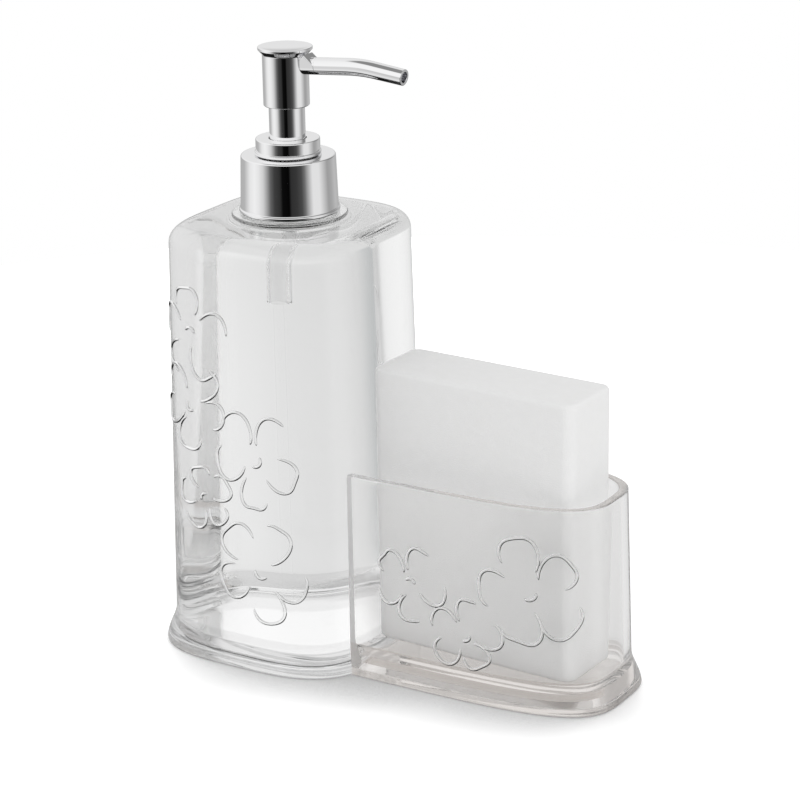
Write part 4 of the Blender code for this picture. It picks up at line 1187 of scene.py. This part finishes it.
# The darker foot materials on the feet and plates are painted shade
bottle_wall_materials = [clear, clear_wet, bottle_shaded_foot, soft_wet]
well_wall_materials = [well_clear, well_shaded_foot, joint_plastic]
place(make_bottle_wall(), "base", "clear_plastic", bottle_wall_materials, "bottle_shell")
place(make_bottle_floor(), "base", "clear_plastic", [bottle_shaded_foot, clear_wet], "bottle_base_plate")
place(make_well_wall(), "base", "clear_plastic", well_wall_materials, "sponge_holder")
place(make_well_plate(), "base", "clear_plastic", [well_shaded_foot], "holder_base_plate")
place(make_neck(), "base", "clear_plastic", [clear], "neck_insert")
place(make_thread(), "base", "clear_plastic", [clear])
bottle_flowers = make_flowers("bottle_flowers", bottle_point, BOTTLE_FLOWERS)
well_flowers = make_flowers("well_flowers", well_point, WELL_FLOWERS)
place(bottle_flowers, "base", "clear_plastic", [clear])
place(well_flowers, "base", "clear_plastic", [well_clear])
place(make_collar(), "collar", "chrome_plating", [chrome], "screw_collar")
place(make_hub(), "pump", "chrome_plating", [chrome], "pump_hub")
place(make_sleeve(), "head", "chrome_plating", [chrome], "stem_sleeve")
place(make_head(), "head", "chrome_plating", [chrome], "head_shell")
place(make_boss(), "head", "chrome_plating", [chrome])
place(make_spout(), "head", "chrome_plating", [chrome], "nozzle_tube")
place(make_housing(), "pump", "white_plastic", [housing_clear], "pump_cylinder")
place(make_tube(), "pump", "tube_plastic", [tube_clear], "dip_tube")
spring = place(make_spring(), "spring", "spring_steel", [spring_steel], "return_spring")
sponge = place(make_sponge(), "sponge", "sponge_foam", [foam], "sponge")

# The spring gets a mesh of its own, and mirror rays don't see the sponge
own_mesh(spring)
sponge.visible_glossy = False

NODE_MATERIALS = {
    "collar_liner": white_plastic,
    "neck_gasket": grey_rubber,
    "stem_guide": white_plastic,
    "pump_stem": white_plastic,
    "piston_rod": white_plastic,
    "piston_seal": seal_plastic,
    "inlet_ball": spring_steel,
    "head_core": white_plastic,
}
for node, material in NODE_MATERIALS.items():
    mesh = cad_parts[node].data
    mesh.materials.clear()
    mesh.materials.append(material)

# Floor: its rings, its tone, and how brightly the camera sees it near the object and far off
FLOOR_RINGS = (0.15, 0.3, 0.55)
FLOOR_SIDES = 96
FLOOR_DROP = 0.0002
FLOOR_TONE = 0.95
CAMERA_GLOW = 0.33
GLOW_START, GLOW_END = 0.18, 0.42

# How far the floor's contact shadow reaches, and the side that its light comes from
CONTACT_REACH = 0.040
CONTACT_SIDE = (-0.49, 0.81, 0.33)
CONTACT_SAMPLES = 8
CONTACT_OPEN, CONTACT_CLOSED = 0.80, 0.30
CONTACT_SHADE = 0.46


def floor_material():
    """Matt white that glows a little to the camera, so that it is white outside the shadow, and
    is darker to the camera close in front of the object."""
    material, tree, surface = new_material("floor_white")
    seen = add_node(tree, "LightPath").outputs["Is Camera Ray"]
    coordinates = add_node(tree, "TexCoord").outputs["Object"]
    distance = add_node(tree, "VectorMath", {0: coordinates}, operation="LENGTH").outputs["Value"]
    fade = eased(tree, distance, GLOW_START, GLOW_END, CAMERA_GLOW)
    side = add_node(tree, "CombineXYZ", dict(zip("XYZ", CONTACT_SIDE))).outputs["Vector"]
    reach = {"Distance": CONTACT_REACH, "Normal": side}
    contact = add_node(tree, "AmbientOcclusion", reach, samples=CONTACT_SAMPLES).outputs["AO"]
    cover = eased(tree, contact, CONTACT_CLOSED, CONTACT_OPEN, CONTACT_SHADE)
    strength = calculate(tree, "MULTIPLY", seen, calculate(tree, "MULTIPLY", fade, cover))
    glow = add_node(tree, "Emission", {"Strength": strength})
    matt = add_node(tree, "BsdfDiffuse", {"Color": mixed(tree, seen, FLOOR_TONE, cover)})
    both = add_node(tree, "AddShader", {0: matt.outputs["BSDF"], 1: glow.outputs["Emission"]})
    tree.links.new(both.outputs["Shader"], surface)
    return material


def make_floor():
    """A round pale floor, which neither the chrome nor the plastic shows."""
    angle = whole_turn(FLOOR_SIDES)
    radius = np.array(FLOOR_RINGS)[:, None]
    x, y = radius * np.cos(angle), radius * np.sin(angle)
    rings = np.stack([x, y, np.full_like(x, -FLOOR_DROP)], axis=-1).reshape(-1, 3)
    faces = grid_faces(len(FLOOR_RINGS), FLOOR_SIDES, False)[:, ::-1].tolist()
    faces += [[len(rings), at, (at + 1) % FLOOR_SIDES] for at in range(FLOOR_SIDES)]
    floor = add_mesh("floor", np.concatenate([rings, [[0, 0, -FLOOR_DROP]]]), faces)
    floor.data.materials.append(floor_material())
    floor.visible_glossy = False
    floor.visible_transmission = False


# Lamps: names, places, what they point at, sizes and powers
LAMPS = (
    ("top_lamp", (0.0, 0.25, 1.3), (0, 0, 0.08), 1.0, 0.5),
    ("right_lamp", (1.0, -0.55, 0.75), (0.04, 0, 0.06), 0.8, 3.5),
    ("left_lamp", (-1.0, 0.20, 0.35), (0.0, 0, 0.06), 0.8, 3.0),
)


def add_lamp(name, location, target, size, power):
    """A square soft lamp that lights the object and isn't itself seen."""
    data = bpy.data.lights.new(name, "AREA")
    data.size = size
    data.energy = power
    lamp = bpy.data.objects.new(name, data)
    lamp.location = location
    aim = Vector(target) - Vector(location)
    lamp.rotation_euler = aim.to_track_quat("-Z", "Y").to_euler()
    lamp.visible_camera = False
    lamp.visible_glossy = False
    lamp.visible_transmission = False
    bpy.context.scene.collection.objects.link(lamp)


def level_axes():
    """The level directions towards the camera and to its right."""
    level = Vector((sin(CAMERA_TURN), -cos(CAMERA_TURN), 0))
    return level, Vector((cos(CAMERA_TURN), sin(CAMERA_TURN), 0))


def make_camera():
    """The photograph's view: the pump's foot is seen at its own pixel, at the fitted distance."""
    level, level_right = level_axes()
    back = level * cos(CAMERA_ELEVATION) + Vector((0, 0, sin(CAMERA_ELEVATION)))
    level_up = back.cross(level_right)
    right = level_right * cos(CAMERA_ROLL) + level_up * sin(CAMERA_ROLL)
    up = level_up * cos(CAMERA_ROLL) - level_right * sin(CAMERA_ROLL)
    metres_per_pixel = CAMERA_DISTANCE / FOCAL_PIXELS
    off_right = (PUMP_FOOT_PIXEL[0] - IMAGE_PIXELS / 2) * metres_per_pixel
    off_up = (IMAGE_PIXELS / 2 - PUMP_FOOT_PIXEL[1]) * metres_per_pixel
    data = bpy.data.cameras.new("camera")
    data.sensor_width = SENSOR_WIDTH
    data.lens = SENSOR_WIDTH * FOCAL_PIXELS / IMAGE_PIXELS
    data.clip_start = CLIP_START
    camera = bpy.data.objects.new("camera", data)
    spot = Vector((PUMP_X, 0, 0)) + back * CAMERA_DISTANCE - right * off_right - up * off_up
    turn = Matrix((right, up, back)).transposed().to_4x4()
    camera.matrix_world = Matrix.Translation(spot) @ turn
    bpy.context.scene.collection.objects.link(camera)
    bpy.context.scene.camera = camera


# Rings of the room: degrees rightwards from the camera's level direction, brightness, coolness
ROOM_RING = (
    (-180, 0.42), (-150, 0.46), (-130, 0.48), (-116, 0.66), (-104, 0.84), (-88, 0.92),
    (-75, 0.84), (-62, 0.66), (-51, 0.34), (-43, 0.13), (-33, 0.05), (-20, 0.03), (-14, 0.004),
    (2, 0.002), (7, 0.03), (20, 0.04), (32, 0.07), (40, 0.17), (50, 0.48), (60, 0.80),
    (78, 0.80), (92, 0.58), (107, 0.36), (120, 0.40), (140, 0.52), (180, 0.42),
)
HIGH_RING = (
    (-180, 0.80), (-120, 0.90), (-60, 0.98), (0, 0.90), (60, 0.85), (95, 0.60), (115, 0.24),
    (140, 0.24), (160, 0.60), (180, 0.80),
)
LOW_RING = (
    (-180, 0.01), (-135, 0.01), (-112, 0.40), (-100, 0.80), (-50, 0.80), (-30, 0.10),
    (30, 0.06), (60, 0.05), (90, 0.01), (180, 0.01),
)
THROUGH_RING = (
    (-180, 0.80), (-166, 0.78), (-155, 0.76), (-147, 0.72), (-138, 0.58, 0.02),
    (-125, 0.46, 0.05), (-108, 0.48, 0.05), (-80, 0.92), (-64, 0.98), (-56, 0.90), (-49, 0.66),
    (-38, 0.52), (-20, 0.50), (0, 0.56), (30, 0.62), (60, 0.75), (85, 0.88), (96, 0.88),
    (104, 0.74), (118, 0.76), (135, 0.88), (150, 0.86), (165, 0.84), (180, 0.80),
)
THROUGH_HIGH_RING = (
    (-180, 1.0), (-150, 1.0), (-138, 0.76), (-120, 0.64), (-60, 0.85), (60, 0.85), (90, 0.80),
    (110, 0.64), (130, 0.66), (146, 0.96), (180, 1.0),
)
THROUGH_LOW_RING = (
    (-180, 0.74), (-120, 0.76), (-60, 0.72), (60, 0.72), (120, 0.76), (180, 0.74),
)
HORIZON = 0.62
ZENITH = 0.26
UNDERFOOT = 0.01

# Layers over the first ring: the heights of direction between which each comes in, and what it is
GLOSS_LAYERS = (
    (-0.02, 0.20, HIGH_RING), (0.79, 0.86, ZENITH), (-0.38, -0.46, LOW_RING),
    (-0.66, -0.76, UNDERFOOT),
)
THROUGH_LAYERS = (
    (-0.35, -0.15, HORIZON), (-0.38, -0.44, THROUGH_LOW_RING), (-0.03, 0.20, THROUGH_HIGH_RING),
)

# The even light on matt surfaces, and the same where it comes through the plastic
AMBIENT = 0.74
AMBIENT_THROUGH = 1.2

# Light passes many clear walls before it leaves the bottle
LIGHT_BOUNCES = 40


def ring_ramp(tree, turn, stops):
    """A colour ramp over the whole turn, from stops of degrees, brightness and coolness."""
    ramp = add_node(tree, "ValToRGB", {"Fac": turn})
    points = ramp.color_ramp.elements
    while len(points) > 1:
        points.remove(points[-1])
    points[0].position = 0.0
    for stop in stops[1:]:
        points.new((stop[0] + 180) / 360)
    for point, stop in zip(points, stops):
        value = stop[1]
        cool = stop[2] if len(stop) > 2 else 0
        point.color = (value * (1 - cool), value, value * (1 + cool / 3), 1)
    return ramp.outputs["Color"]


def make_room():
    """The room: white to the camera, rings of dark and bright screens to the chrome, a paler ring
    through the plastic, and an even soft light on everything else."""
    world = bpy.data.worlds.new("room")
    bpy.context.scene.world = world
    world.use_nodes = True
    world.cycles.sampling_method = "NONE"
    tree = world.node_tree
    tree.nodes.clear()
    direction = add_node(tree, "TexCoord").outputs["Generated"]

    def along(axis):
        inputs = {0: direction, 1: axis}
        return add_node(tree, "VectorMath", inputs, operation="DOT_PRODUCT").outputs["Value"]

    level, right = level_axes()
    spin = calculate(tree, "ARCTAN2", along(right), along(level))
    share = {"Value": spin, "From Min": -pi, "From Max": pi}
    turn = add_node(tree, "MapRange", share).outputs["Result"]
    height = along(Vector((0, 0, 1)))

    def layered(first, layers):
        colour = ring_ramp(tree, turn, first)
        for low, high, layer in layers:
            over = layer if isinstance(layer, float) else ring_ramp(tree, turn, layer)
            colour = mixed(tree, eased(tree, height, low, high), colour, over)
        return colour

    gloss = layered(ROOM_RING, GLOSS_LAYERS)
    through = layered(THROUGH_RING, THROUGH_LAYERS)
    path = add_node(tree, "LightPath").outputs
    colour = mixed(tree, path["Is Glossy Ray"], AMBIENT, gloss)
    colour = mixed(tree, path["Is Transmission Ray"], colour, through)
    lighting = calculate(tree, "GREATER_THAN", path["Diffuse Depth"], 0.5)
    light = mixed(tree, path["Is Transmission Ray"], AMBIENT, AMBIENT_THROUGH)
    colour = mixed(tree, lighting, colour, light)
    colour = mixed(tree, path["Is Camera Ray"], colour, 1.0)
    background = add_node(tree, "Background", {"Color": colour}).outputs["Background"]
    add_node(tree, "OutputWorld", {"Surface": background})


make_floor()
for lamp in LAMPS:
    add_lamp(*lamp)
make_camera()
make_room()
bpy.context.scene.view_settings.view_transform = "Standard"
bpy.context.scene.cycles.max_bounces = LIGHT_BOUNCES
bpy.context.scene.cycles.transmission_bounces = LIGHT_BOUNCES
bpy.context.scene.cycles.glossy_bounces = LIGHT_BOUNCES
